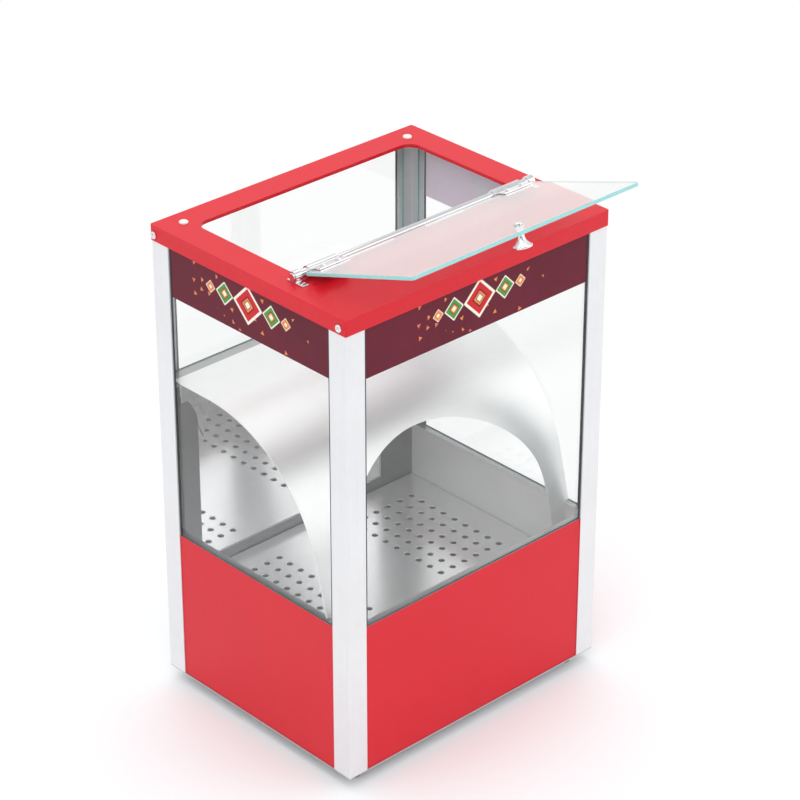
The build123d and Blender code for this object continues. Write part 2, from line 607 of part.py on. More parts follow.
def main():
    """Build every node and write its file."""
    os.makedirs("parts", exist_ok=True)
    save("top_frame", make_top_frame())
    x, y = TOP_SCREW
    shank = 2 * SHEET
    top_screw = turned([(SHANK_R, -shank), (SHANK_R, 0), (5, 0), (4.6, 1.1), (3, 2), (1.2, 2.4)])
    save("top_screws", both_sides(Pos(x, y, TOP_Z) * top_screw))
    side_screws = []
    for sy in SKIRT_SCREW_Y:
        screw = pan_screw(4.2, 2.4, WIDTH / 2 - LEG_X)
        side_screws += both_sides(Pos(WIDTH / 2, sy, SKIRT_SCREW_Z) * Rot(0, 90, 0) * screw)
    save("skirt_screws", side_screws)

    for rear, end in ((False, "front"), (True, "rear")):
        post = make_post(rear)
        save(f"post_{end}_right", post)
        save(f"post_{end}_left", flipped(post))
    strips = make_gaskets(False) + make_gaskets(True)
    save("pane_gaskets", [piece for strip in strips for piece in both_sides(strip)])

    half_x = POST_X - LEG + PANE_LAP
    half_y = POST_Y - LEG + PANE_LAP
    save("glass_front", make_pane(-half_x, half_x, -PANE_Y, -PANE_IN_Y, PANE_FOOT))
    save("glass_rear", make_pane(-half_x, half_x, PANE_IN_Y, PANE_Y, SILL_TOP))
    right_pane = make_pane(PANE_IN_X, PANE_X, -half_y, half_y, PANE_FOOT)
    save("glass_right", right_pane)
    save("glass_left", flipped(right_pane))
    front_sign, right_sign = make_signs()
    save("sign_front", front_sign)
    save("sign_right", right_sign)
    save("sign_left", flipped(right_sign))

    glass, clamps, knob, knob_screw = make_lid()
    save("lid_glass", glass)
    save("hinge_clamps", clamps)
    save("lid_knob", knob)
    save("knob_screw", knob_screw)
    save("hinge_bar", make_hinge_bar())
    save("hinge_brackets", both_sides(make_bar_bracket()))

    save("sill_rail", make_sill())
    save("chip_slide", make_slide())
    save("perforated_floor", make_floor())
    save("floor_supports", both_sides(make_floor_support()))

    save("front_panel", make_front_panel())
    right_panel = make_right_panel()
    save("right_panel", right_panel)
    save("left_panel", flipped(right_panel))
    save("rear_panel", make_rear_panel())
    save("base_plate", make_base())
    save("feet", make_feet())

    save("rear_flap", make_flap())
    save("flap_brackets", make_flap_brackets())
    save("flap_pins", make_flap_pins())
    face = FLAP_Y + FLAP_T
    save("flap_handle", strap_handle(*HANDLE, face, HANDLE_Z))
    save("crumb_tray", make_tray())
    tray_mid = (TRAY_X0 + TRAY_X1) / 2
    save("tray_pull", Pos(tray_mid, 0, 0) * strap_handle(*PULL, face, (TRAY_Z0 + TRAY_Z1) / 2))
    save("tray_runners", make_runners())

    save("control_box", make_control_box())
    save("heater_element", make_heater())
    save("heater_clips", make_heater_clips())
    save("thermostat", make_thermostat())
    save("switch_bodies", [make_switch_body(x) for x in ROCKER_X])
    save("power_rocker", make_rocker(ROCKER_X[0]))
    save("light_rocker", make_rocker(ROCKER_X[1]))
    save("cord_gland", make_gland())

    trough, tube, holders = make_lamp()
    save("lamp_housing", trough)
    save("lamp_tube", tube)
    save("lamp_holders", holders)


if __name__ == "__main__":
    main()
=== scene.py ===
"""Looks of the counter-top chip warmer: glass, enamel, polished sheet, printed bands and the studio.

Metres, Z up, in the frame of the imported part. Front is -Y and the serving flap is on +Y.
"""

import logging
import math
from collections.abc import Mapping, Sequence
from dataclasses import dataclass, field
from enum import Enum
from functools import cache
from typing import Any

import bmesh
import bpy
import numpy as np
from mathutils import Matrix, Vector


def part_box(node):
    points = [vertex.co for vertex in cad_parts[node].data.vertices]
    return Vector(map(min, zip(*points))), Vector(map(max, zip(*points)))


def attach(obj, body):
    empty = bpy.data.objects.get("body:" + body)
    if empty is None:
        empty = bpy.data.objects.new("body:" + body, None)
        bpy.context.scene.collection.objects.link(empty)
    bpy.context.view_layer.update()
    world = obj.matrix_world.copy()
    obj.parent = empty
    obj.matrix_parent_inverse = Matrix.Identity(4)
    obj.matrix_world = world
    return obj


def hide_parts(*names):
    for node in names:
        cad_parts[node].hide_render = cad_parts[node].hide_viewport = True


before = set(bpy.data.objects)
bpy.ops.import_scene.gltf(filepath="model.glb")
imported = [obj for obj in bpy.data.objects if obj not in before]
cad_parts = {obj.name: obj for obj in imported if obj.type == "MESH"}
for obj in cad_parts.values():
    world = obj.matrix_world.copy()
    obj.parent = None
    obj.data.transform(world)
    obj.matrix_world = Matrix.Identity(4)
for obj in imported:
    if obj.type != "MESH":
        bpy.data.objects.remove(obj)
LOG = logging.getLogger("chip_warmer")

Colour = tuple[float, float, float, float]
Spot = tuple[float, float, float]
Pair = tuple[float, float]
Array = np.ndarray
Surface = tuple[Array, Array]
Outline = tuple[Pair, ...]
Socket = bpy.types.NodeSocket
Tree = bpy.types.NodeTree
Piece = bpy.types.Object
Material = bpy.types.Material
WHITE: Colour = (1.0, 1.0, 1.0, 1.0)
UP = np.array((0.0, 0.0, 1.0))
MM = 0.001            # metres in a millimetre
EASE = 0.0003         # usual width of an eased edge, metres
EASE_ANGLE = 40.0     # degrees from which an edge is eased
SHARP = 32.0          # degrees from which an edge stays sharp
SHARP_TURNED = 50.0   # the same on turned pieces
FLAT = 0.4            # degrees within which triangles count as one face
WELD = 1e-7           # metres within which points are one


# ---- node graph helpers
class Graph:
    """Small wrapper that adds and links shader nodes."""

    def __init__(self, tree: Tree) -> None:
        """Wrap a node tree."""
        self.tree = tree

    def put(self, socket: Socket, value: Any) -> None:
        """Link or set an input.

        Args:
            socket: the input.
            value: an output socket or a plain value.
        """
        if isinstance(value, Socket):
            self.tree.links.new(value, socket)
        else:
            socket.default_value = value

    def add(self, kind: str, inputs: Mapping[Any, Any] | None = None, **props: Any) -> bpy.types.Node:
        """Add a node.

        Args:
            kind: the node's type name after ShaderNode.
            inputs: input name or index -> a value or an output socket.
            props: plain node properties.
        Returns:
            The new node.
        """
        node = self.tree.nodes.new("ShaderNode" + kind)
        for key, value in props.items():
            setattr(node, key, value)
        for key, value in (inputs or {}).items():
            self.put(node.inputs[key], value)
        return node

    def effect(self, group: Tree, where: Socket, **values: Any) -> Any:
        """Outputs of a shared effect placed on coordinates, with its other inputs by name."""
        return self.add("Group", {"Vector": where, **values}, node_tree=group).outputs

    def math(self, operation: str, a: Any, b: Any = 0.0) -> Socket:
        """One math node's output."""
        return self.add("Math", {0: a, 1: b}, operation=operation).outputs[0]

    def vector(self, operation: str, a: Any, b: Any) -> Any:
        """One vector math node's outputs."""
        return self.add("VectorMath", {0: a, 1: b}, operation=operation).outputs

    def scaled(self, vector: Any, factor: Any) -> Socket:
        """A vector times a number."""
        return self.add("VectorMath", {0: vector, 3: factor}, operation="SCALE").outputs[0]

    def parts(self, vector: Socket) -> list[Socket]:
        """The x, y and z outputs of a vector."""
        return list(self.add("SeparateXYZ", {0: vector}).outputs)

    def noise(self, where: Any, scale: Any, detail: float = 2.0, rough: float = 0.5) -> Socket:
        """Soft noise value."""
        return self.add("TexNoise", {"Vector": where, "Scale": scale, "Detail": detail,
                                     "Roughness": rough}).outputs[0]

    def mix(self, factor: Any, a: Any, b: Any) -> Socket:
        """Colour mix of a and b by factor."""
        return self.add("Mix", {0: factor, 6: a, 7: b}, data_type="RGBA").outputs[2]

    def blend(self, factor: Any, a: Socket, b: Socket) -> Socket:
        """Shader mix of a and b by factor."""
        return self.add("MixShader", {0: factor, 1: a, 2: b}).outputs[0]

    def remap(self, value: Any, low: Any, high: Any, start: float = 0.0, end: float = 1.0) -> Socket:
        """Value taken from start..end to low..high, clamped."""
        return self.add("MapRange", {0: value, 1: start, 2: end, 3: low, 4: high}).outputs[0]


def effect_group(name: str, inputs: Mapping[str, Any], outputs: Sequence[str]) -> tuple[Graph, Any, Any]:
    """Open a shared effect on coordinates.

    Args:
        name: the group's name.
        inputs: name -> default of each input after Vector; None makes it a vector too.
        outputs: names of the outputs; Normal is a vector, the others are numbers.
    Returns:
        (graph, its input sockets, its output sockets).
    """
    tree = bpy.data.node_groups.new(name, "ShaderNodeTree")
    for label, default in {"Vector": None, **inputs}.items():
        kind = "NodeSocketVector" if default is None else "NodeSocketFloat"
        socket = tree.interface.new_socket(name=label, in_out="INPUT", socket_type=kind)
        if default is not None:
            socket.default_value = default
    for label in outputs:
        kind = "NodeSocketVector" if label == "Normal" else "NodeSocketFloat"
        tree.interface.new_socket(name=label, in_out="OUTPUT", socket_type=kind)
    return Graph(tree), tree.nodes.new("NodeGroupInput").outputs, tree.nodes.new("NodeGroupOutput").inputs


@cache
def mottle_group() -> Tree:
    """Soft noise in a range: finger marks, uneven dye, worn gloss.

    Returns:
        The group: Value.
    """
    g, i, o = effect_group("Mottle", {"Scale": 8.0, "Low": 0.0, "High": 1.0}, ["Value"])
    big = g.noise(i["Vector"], i["Scale"], 5.0, 0.6)
    fine = g.noise(i["Vector"], g.math("MULTIPLY", i["Scale"], 6.3), 3.0)
    both = g.math("ADD", g.math("MULTIPLY", big, 0.7), g.math("MULTIPLY", fine, 0.3))
    g.put(o["Value"], g.remap(both, i["Low"], i["High"], 0.35, 0.65))
    return g.tree


@cache
def grain_group() -> Tree:
    """Fine lines along one axis: the stretch vector is small along the grain.

    Returns:
        The group: Value, Normal.
    """
    g, i, o = effect_group("Grain", {"Stretch": None, "Low": 0.0, "High": 1.0, "Depth": 0.1},
                           ["Value", "Normal"])
    noise = g.noise(g.vector("MULTIPLY", i["Vector"], i["Stretch"])[0], 1.0, 4.0, 0.75)
    g.put(o["Value"], g.remap(noise, i["Low"], i["High"], 0.3, 0.7))
    bump = g.add("Bump", {"Strength": i["Depth"], "Distance": 0.0002, "Height": noise})
    g.put(o["Normal"], bump.outputs[0])
    return g.tree


@cache
def peel_group() -> Tree:
    """Slight waviness of sprayed or moulded skin.

    Returns:
        The group: Normal.
    """
    g, i, o = effect_group("Peel", {"Scale": 300.0, "Depth": 0.1}, ["Normal"])
    noise = g.noise(i["Vector"], i["Scale"])
    bump = g.add("Bump", {"Strength": i["Depth"], "Distance": 0.0003, "Height": noise})
    g.put(o["Normal"], bump.outputs[0])
    return g.tree


@cache
def specks_group() -> Tree:
    """Small scattered dots: the middles of some cells, chosen by the cell's own colour.

    Returns:
        The group: Mask.
    """
    g, i, o = effect_group("Specks", {"Scale": 200.0, "Size": 0.2, "Rarity": 0.5}, ["Mask"])
    cells = g.add("TexVoronoi", {"Vector": i["Vector"], "Scale": i["Scale"]}).outputs
    near = g.math("LESS_THAN", cells["Distance"], i["Size"])
    chance = g.add("SeparateColor", {0: cells["Color"]}).outputs[0]
    g.put(o["Mask"], g.math("MULTIPLY", near, g.math("GREATER_THAN", chance, i["Rarity"])))
    return g.tree


@cache
def confetti_group() -> Tree:
    """Small scattered triangles, each turned its own way.

    A point is inside while the larger of -y and y/2 + 0.866 |x|, from its cell's middle, is under Size.

    Returns:
        The group: Mask, Hue.
    """
    g, i, o = effect_group("Confetti", {"Scale": 0.1, "Size": 0.12, "Rarity": 0.5}, ["Mask", "Hue"])
    cells = g.add("TexVoronoi", {"Vector": i["Vector"], "Scale": i["Scale"]}).outputs
    away = g.vector("SUBTRACT", g.scaled(i["Vector"], i["Scale"]), g.scaled(cells["Position"], i["Scale"]))[0]
    chance, spin, hue = list(g.add("SeparateColor", {0: cells["Color"]}).outputs)
    turned = g.add("VectorRotate", {"Vector": away, "Angle": g.math("MULTIPLY", spin, 6.283)},
                   rotation_type="Z_AXIS")
    x, y, _ = g.parts(turned.outputs[0])
    slope = g.math("ADD", g.math("MULTIPLY", y, 0.5), g.math("MULTIPLY", g.math("ABSOLUTE", x), 0.866))
    inside = g.math("LESS_THAN", g.math("MAXIMUM", g.math("MULTIPLY", y, -1.0), slope), i["Size"])
    g.put(o["Mask"], g.math("MULTIPLY", inside, g.math("GREATER_THAN", chance, i["Rarity"])))
    g.put(o["Hue"], hue)
    return g.tree


class Ink(Enum):
    """Printing inks, in the order in which they are laid."""

    GREEN = (0.09, 0.30, 0.06, 1.0)
    RED = (0.62, 0.02, 0.03, 1.0)
    ORANGE = (0.80, 0.26, 0.06, 1.0)
    CREAM = (0.90, 0.84, 0.72, 1.0)


@cache
def ornament_group() -> Tree:
    """Printed ornament: a short row of nested stepped diamonds in the middle of the band.

    The coordinates are in millimetres along (x) and up (y) the band, from its middle. The reach |x| + |y|
    from a diamond's middle, in whole millimetres, is cut at shares of its size into a cream rim, a coloured
    ring, an orange line and a cream heart.

    Returns:
        The group: one mask for each ink.
    """
    row = ((0.0, 22.0, Ink.RED), (36.0, 13.0, Ink.GREEN), (58.0, 7.0, Ink.ORANGE))
    g, i, o = effect_group("Ornament", {}, [ink.name for ink in Ink])
    along, up, _ = g.parts(i["Vector"])
    rise = g.math("FLOOR", g.math("ABSOLUTE", up))
    masks: dict[Ink, Socket] = {}
    for place, size, ring in row:
        off = g.math("SUBTRACT", g.math("ABSOLUTE", along), place)
        reach = g.math("ADD", g.math("FLOOR", g.math("ABSOLUTE", off)), rise)
        for ink, low, high in ((Ink.CREAM, 0.78, 1.0), (ring, 0.42, 0.78), (Ink.ORANGE, 0.22, 0.34),
                               (Ink.CREAM, -1.0, 0.16)):
            band = g.math("MULTIPLY", g.math("LESS_THAN", reach, size * high),
                          g.math("GREATER_THAN", reach, size * low))
            masks[ink] = g.math("MAXIMUM", masks[ink], band) if ink in masks else band
    for ink, mask in masks.items():
        g.put(o[ink.name], mask)
    return g.tree


# ---- finishes
class GrainAxis(Enum):
    """Direction of a sheet's grain, as the noise scale along X, Y and Z."""

    ACROSS = (6.0, 900.0, 900.0)
    DEPTH = (900.0, 6.0, 900.0)
    UPRIGHT = (900.0, 900.0, 5.0)
    EDGE = (70.0, 70.0, 900.0)
    NONE = (60.0, 60.0, 60.0)


class Slot(Enum):
    """Material slots of the record."""

    RED = "red_enamel"
    CASING = "casing_sheet"
    SCREW = "pale_screw"
    POST = "silver_post"
    CHROME = "bright_chrome"
    BRIGHT = "bright_sheet"
    PLAIN = "plain_sheet"
    SHEATH = "heater_sheath"
    GLASS = "clear_glass"
    PRINT = "sign_print"
    RUBBER = "seal_rubber"
    PLASTIC = "dark_plastic"


@dataclass
class Coat:
    """A material being made: its graph, its Principled shader and its object coordinates."""

    g: Graph
    shader: bpy.types.Node
    where: Socket

    def set(self, **values: Any) -> None:
        """Link or set the shader's inputs, whose names are given with _ for a blank."""
        for label, value in values.items():
            self.g.put(self.shader.inputs[label.replace("_", " ")], value)

    def show(self, surface: Socket) -> None:
        """Make a shader the material's surface."""
        self.g.put(self.g.tree.nodes["Material Output"].inputs[0], surface)


@dataclass(frozen=True)
class Finish:
    """Base of every finish: a named Principled material on object coordinates."""

    name: str
    base: Colour
    slot: Slot = Slot.PLAIN

    def shade(self, tone: float) -> Colour:
        """The base colour made lighter or darker."""
        return tuple(min(1.0, c * tone) for c in self.base[:3]) + (1.0,)

    def lay(self, c: Coat) -> None:
        """Lay the finish on a coat; each finish has its own way."""
        raise NotImplementedError

    def build(self) -> Material:
        """Make the material.

        Returns:
            The finished material.
        """
        material = bpy.data.materials.new(self.name)
        material.use_nodes = True
        g = Graph(material.node_tree)
        where = g.add("TexCoord").outputs["Object"]
        self.lay(Coat(g, g.tree.nodes["Principled BSDF"], where))
        return material


@dataclass(frozen=True)
class Metal(Finish):
    """Polished or brushed metal with grain, smudges and a tint that wanders a little."""

    rough: Pair = (0.15, 0.3)
    depth: float = 0.08
    grain: GrainAxis = GrainAxis.ACROSS
    smudge: float = 12.0
    metallic: float = 1.0

    def lay(self, c: Coat) -> None:
        """Mix grain lines and smudges into one wear value.

        Args:
            c: the coat.
        """
        g = c.g
        lines = g.effect(grain_group(), c.where, Stretch=self.grain.value, Depth=self.depth)
        marks = g.effect(mottle_group(), c.where, Scale=self.smudge)["Value"]
        wear = g.math("ADD", g.math("MULTIPLY", lines["Value"], 0.5), g.math("MULTIPLY", marks, 0.5))
        c.set(Roughness=g.remap(wear, *self.rough), Normal=lines["Normal"], Metallic=self.metallic,
              Base_Color=g.mix(wear, self.shade(0.94), self.shade(1.05)))


@dataclass(frozen=True)
class Enamel(Finish):
    """Sprayed gloss paint: thin clear coat, slight peel, faint dust."""

    gloss: float = 0.12
    rough: Pair = (0.30, 0.38)
    peel: float = 0.05
    sheen: float = 0.22
    dust: Colour = (0.9, 0.6, 0.58, 1.0)
    dust_share: float = 0.10

    def lay(self, c: Coat) -> None:
        """Lay paint, dust and clear coat.

        Args:
            c: the coat.
        """
        g = c.g
        marks = g.effect(mottle_group(), c.where, Scale=9.0)["Value"]
        dust = g.effect(specks_group(), c.where, Scale=260.0, Size=0.11, Rarity=0.86)["Mask"]
        tone = g.mix(marks, self.shade(0.97), self.shade(1.03))
        c.set(Base_Color=g.mix(g.math("MULTIPLY", dust, self.dust_share), tone, self.dust),
              Roughness=g.remap(marks, *self.rough), Specular_IOR_Level=self.sheen,
              Normal=g.effect(peel_group(), c.where, Scale=420.0, Depth=self.peel)["Normal"],
              Coat_Weight=self.gloss, Coat_Roughness=0.08)


@dataclass(frozen=True)
class Glazing(Finish):
    """Clear float glass with a trace of wiped smears; lamps shine through it."""

    smear: float = 0.03
    passed: Colour = (0.96, 0.97, 0.97, 1.0)

    def lay(self, c: Coat) -> None:
        """Lay the glass, and clear air for shadow rays.

        Args:
            c: the coat.
        """
        g = c.g
        marks = g.effect(mottle_group(), c.where, Scale=7.0)["Value"]
        c.set(Base_Color=g.mix(marks, self.base, self.shade(0.99)), Roughness=g.remap(marks, 0.0, self.smear),
              Transmission_Weight=1.0, IOR=1.5)
        clear = g.add("BsdfTransparent", {"Color": self.passed}).outputs[0]
        c.show(g.blend(g.add("LightPath").outputs["Is Shadow Ray"], c.shader.outputs[0], clear))


@dataclass(frozen=True)
class LidGlass(Glazing):
    """The lid's glass: seen at a low angle it mirrors the bright surround strongly."""

    def lay(self, c: Coat) -> None:
        """Lay the glass under a strong clear coat."""
        super().lay(c)
        c.set(IOR=1.75, Coat_Weight=1.0, Coat_IOR=1.7, Coat_Roughness=0.02)


@dataclass(frozen=True)
class GroundEdge(Finish):
    """Ground edge of float glass: the sheet's own blue-green seen end on."""

    def lay(self, c: Coat) -> None:
        """Lay the tint with fine grinding lines."""
        lines = c.g.effect(grain_group(), c.where, Stretch=GrainAxis.EDGE.value, Depth=0.05)["Value"]
        c.set(Base_Color=c.g.mix(lines, self.shade(0.85), self.shade(1.15)), Roughness=c.g.remap(lines, 0.12, 0.3))


@dataclass(frozen=True)
class Print(Finish):
    """Printed film: dark ground, ornament in four inks, a few coral flecks beside it, pale back."""

    coral: Colour = (0.70, 0.16, 0.12, 1.0)
    back: Colour = (0.90, 0.76, 0.90, 1.0)
    ghost: Colour = (0.80, 0.88, 0.84, 1.0)
    ghost_share: float = 0.55
    fleck_reach: float = 92.0

    def lay(self, c: Coat) -> None:
        """Lay the inks over the flecks over the ground, and the back behind.

        Args:
            c: the coat.
        """
        g = c.g
        plane = g.add("UVMap", uv_map="band").outputs[0]
        inside = g.add("Attribute", attribute_name="back").outputs["Fac"]
        art = g.effect(ornament_group(), plane)
        flecks = g.effect(confetti_group(), plane, Scale=0.085, Size=0.13, Rarity=0.80)
        near = g.math("LESS_THAN", g.math("ABSOLUTE", g.parts(plane)[0]), self.fleck_reach)
        marks = g.effect(mottle_group(), c.where, Scale=14.0)["Value"]
        front = g.mix(marks, self.shade(0.88), self.shade(1.12))
        front = g.mix(g.math("MULTIPLY", flecks["Mask"], near), front,
                      g.mix(flecks["Hue"], self.coral, Ink.ORANGE.value))
        for ink in Ink:
            front = g.mix(art[ink.name], front, ink.value)
        shown = g.math("MAXIMUM", art[Ink.CREAM.name], art[Ink.GREEN.name])
        rear = g.mix(g.math("MULTIPLY", shown, self.ghost_share), self.back, self.ghost)
        c.set(Base_Color=g.mix(inside, front, rear), Roughness=g.remap(marks, 0.28, 0.42),
              Specular_IOR_Level=0.15)


@dataclass(frozen=True)
class Moulding(Finish):
    """Rubber or plastic: fine skin texture, faint scuffs."""

    rough: Pair = (0.45, 0.65)
    texture: float = 500.0
    depth: float = 0.25

    def lay(self, c: Coat) -> None:
        """Lay the skin with its scuffs.

        Args:
            c: the coat.
        """
        marks = c.g.effect(mottle_group(), c.where, Scale=30.0)["Value"]
        skin = c.g.effect(peel_group(), c.where, Scale=self.texture, Depth=self.depth)["Normal"]
        c.set(Base_Color=c.g.mix(marks, self.shade(0.8), self.shade(1.3)),
              Roughness=c.g.remap(marks, *self.rough), Normal=skin)


@dataclass(frozen=True)
class Seal(Moulding):
    """Sealing strip: black lip beyond the post's edge, pale adhesive tape behind the post.

    The lip is where a point lies nearer the middle than the post's edge: x inside lip_x on the end walls,
    y inside lip_y on the side walls, which lie beyond side_x.
    """

    tape: Colour = (0.78, 0.79, 0.80, 1.0)
    lip_x: float = 0.1585
    lip_y: float = 0.1235
    side_x: float = 0.17

    def lay(self, c: Coat) -> None:
        """Lay the rubber, then tape everywhere but on the lip.

        Args:
            c: the coat.
        """
        super().lay(c)
        g = c.g
        rubber = c.shader.inputs["Base Color"].links[0].from_socket
        x, y = (g.math("ABSOLUTE", part) for part in g.parts(c.where)[:2])
        on_side = g.math("MULTIPLY", g.math("GREATER_THAN", x, self.side_x), g.math("LESS_THAN", y, self.lip_y))
        lip = g.math("MAXIMUM", g.math("LESS_THAN", x, self.lip_x), on_side)
        c.set(Base_Color=g.mix(lip, self.tape, rubber))


class Skin(Enum):
    """Every finish by name."""

    ENAMEL = Enamel("red_enamel", (0.66, 0.010, 0.022, 1), Slot.RED)
    SCREW = Enamel("screw_paint", (0.80, 0.76, 0.72, 1), Slot.SCREW, 0.2)
    POST = Metal("satin_post", (0.80, 0.80, 0.81, 1), Slot.POST, (0.34, 0.44), 0.02, GrainAxis.UPRIGHT,
                 metallic=0.35)
    CHROME = Metal("bright_chrome", (0.80, 0.80, 0.82, 1), Slot.CHROME, (0.04, 0.11), 0.01, GrainAxis.NONE, 40.0)
    SLIDE = Metal("polished_slide", (0.93, 0.93, 0.935, 1), Slot.BRIGHT, (0.38, 0.44), 0.004,
                  metallic=0.75)
    # Darker steel on the slide's underside: painted shade under the sheet, which is the same steel as its top.
    SLIDE_PAINTED_SHADE = Metal("slide_painted_shade", (0.62, 0.62, 0.63, 1), Slot.BRIGHT, (0.30, 0.44), 0.01)
    # Near-black steel on the rear panel's inner face: painted shade; the panel itself is the mill steel of its
    # outside.
    SHOULDER_PAINTED_SHADE = Metal("shoulder_painted_shade", (0.17, 0.17, 0.175, 1), Slot.PLAIN, (0.26, 0.38), 0.01)
    # Near-white, barely metallic steel for the panels' inner faces: a real steel liner whose whiteness is painted
    # light and reflection, standing for the bright polished steel.
    LINER_PAINTED_LIGHT = Metal("liner_painted_light", (0.96, 0.96, 0.96, 1), Slot.CASING, (0.30, 0.40), 0.004, GrainAxis.DEPTH,
                  metallic=0.2)
    FLAP = Metal("mirror_flap", (0.86, 0.86, 0.87, 1), Slot.BRIGHT, (0.02, 0.05), 0.0)
    SILL = Metal("sill_sheet", (0.40, 0.40, 0.41, 1), Slot.BRIGHT, (0.34, 0.44), 0.02)
    FLOOR = Metal("floor_sheet", (0.92, 0.92, 0.925, 1), Slot.BRIGHT, (0.20, 0.26), 0.004, GrainAxis.DEPTH,
                  metallic=0.6)
    SHEET = Metal("mill_sheet", (0.62, 0.63, 0.64, 1), Slot.PLAIN, (0.32, 0.5), 0.1)
    SHEATH = Metal("heater_sheath", (0.30, 0.27, 0.24, 1), Slot.SHEATH, (0.38, 0.6), 0.15, GrainAxis.NONE, 30.0)
    GLASS = Glazing("float_glass", (0.985, 0.995, 0.99, 1), Slot.GLASS)
    EDGE = GroundEdge("ground_edge", (0.30, 0.62, 0.60, 1), Slot.GLASS)
    LID = LidGlass("lid_glass", (0.97, 0.98, 0.985, 1), Slot.GLASS)
    TUBE = Glazing("lamp_glass", (1.0, 0.97, 0.92, 1), Slot.GLASS, 0.3)
    PRINT = Print("sign_print", (0.130, 0.012, 0.026, 1), Slot.PRINT)
    SEAL = Seal("seal_strip", (0.035, 0.035, 0.038, 1), Slot.RUBBER)
    RUBBER = Moulding("foot_rubber", (0.035, 0.035, 0.038, 1), Slot.RUBBER)
    PLASTIC = Moulding("black_plastic", (0.02, 0.02, 0.022, 1), Slot.PLASTIC, (0.3, 0.45), 350.0, 0.12)


@cache
def paint(skin: Skin) -> Material:
    """The material of a finish, made when it is first asked for."""
    return skin.value.build()


# ---- mesh helpers
def read(items: Any, what: str, width: int = 1, kind: type = float) -> Array:
    """One property of all elements, as numbers or as rows of width numbers."""
    items.foreach_get(what, values := np.zeros(len(items) * width, dtype=kind))
    return values.reshape(-1, width) if width > 1 else values


def merged(node: str) -> Surface:
    """Copy a CAD node's mesh with its doubled vertices merged.

    Args:
        node: the CAD node's name.
    Returns:
        (vertices, triangles).
    """
    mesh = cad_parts[node].data
    mesh.calc_loop_triangles()
    tris = read(mesh.loop_triangles, "vertices", 3, np.int64)
    keys, index = np.unique(np.round(read(mesh.vertices, "co", 3), 6), axis=0, return_inverse=True)
    tris = index.reshape(-1)[tris]
    return keys, tris[(tris != np.roll(tris, 1, axis=1)).all(axis=1)]


def make_object(name: str, points: Array, faces: Array) -> Piece:
    """Make a mesh object at the origin.

    Args:
        name: object name.
        points: vertex positions.
        faces: vertex indices of each face.
    Returns:
        The object, linked to the scene.
    """
    mesh = bpy.data.meshes.new(name)
    mesh.from_pydata(points.tolist(), [], faces.tolist())
    mesh.validate()
    obj = bpy.data.objects.new(name, mesh)
    bpy.context.scene.collection.objects.link(obj)
    return obj


def tidy_edges(obj: Piece, flat: bool, sharp: float, weld: bool) -> None:
    """Join coplanar triangles and mark which edges stay sharp.

    Args:
        obj: the mesh object.
        flat: join coplanar triangles into larger faces.
        sharp: angle in degrees from which an edge stays sharp.
        weld: merge coinciding points first.
    """
    work = bmesh.new()
    work.from_mesh(obj.data)
    if weld:
        bmesh.ops.remove_doubles(work, verts=work.verts[:], dist=WELD)
    if flat:
        bmesh.ops.dissolve_limit(work, angle_limit=math.radians(FLAT), verts=work.verts[:], edges=work.edges[:])
    for face in work.faces:
        face.smooth = True
    for edge in work.edges:
        edge.smooth = len(edge.link_faces) == 2 and edge.calc_face_angle(0.0) < math.radians(sharp)
    work.to_mesh(obj.data)
    work.free()


def face_towards(obj: Piece, way: Spot, skin: Skin, least: float = 0.5) -> None:
    """Give the faces that look in one direction their own material.

    Args:
        obj: a dressed piece.
        way: the direction, as a unit vector.
        skin: their finish.
        least: smallest cosine between a face's normal and the direction.
    """
    obj.data.materials.append(paint(skin))
    faces = obj.data.polygons
    index = read(faces, "material_index", kind=np.int32)
    index[read(faces, "normal", 3) @ np.array(way) > least] = len(obj.data.materials) - 1
    faces.foreach_set("material_index", index)


# ---- parametric surfaces, in millimetres
def move(x: float, y: float, z: float) -> Array:
    """4 x 4 matrix of a shift."""
    return np.array([(1, 0, 0, x), (0, 1, 0, y), (0, 0, 1, z), (0, 0, 0, 1)], dtype=float)


def turn(axis: int, degrees: float) -> Array:
    """Make the 4 x 4 matrix of a turn: a' = a cos t - b sin t, b' = a sin t + b cos t.

    Args:
        axis: 0, 1 or 2 for X, Y or Z; a and b are the next two axes in turn.
        degrees: the angle t.
    Returns:
        The matrix.
    """
    a, b = (axis + 1) % 3, (axis + 2) % 3
    c, s = math.cos(math.radians(degrees)), math.sin(math.radians(degrees))
    place = np.eye(4)
    place[a, a], place[a, b], place[b, a], place[b, b] = c, -s, s, c
    return place


def round_angles(segments: int) -> Array:
    """Equal angles of a full turn, without the last."""
    return np.linspace(0.0, 2 * math.pi, segments, endpoint=False)


def between_rings(rings: int, sides: int) -> Array:
    """Join successive closed rings; point k of ring i is i * sides + k.

    Args:
        rings: number of rings.
        sides: points in each.
    Returns:
        The quads.
    """
    i, k = np.meshgrid(np.arange(rings - 1), np.arange(sides), indexing="ij")
    a, b = i * sides + k, i * sides + (k + 1) % sides
    return np.stack([a, b, b + sides, a + sides], axis=-1).reshape(-1, 4)


def corners(x0: float, x1: float, y0: float, y1: float, levels: Pair) -> Array:
    """Corners of a rectangle at two levels, level by level."""
    flat = [(x0, y0), (x1, y0), (x1, y1), (x0, y1)]
    return np.c_[flat + flat, np.repeat(levels, 4)]


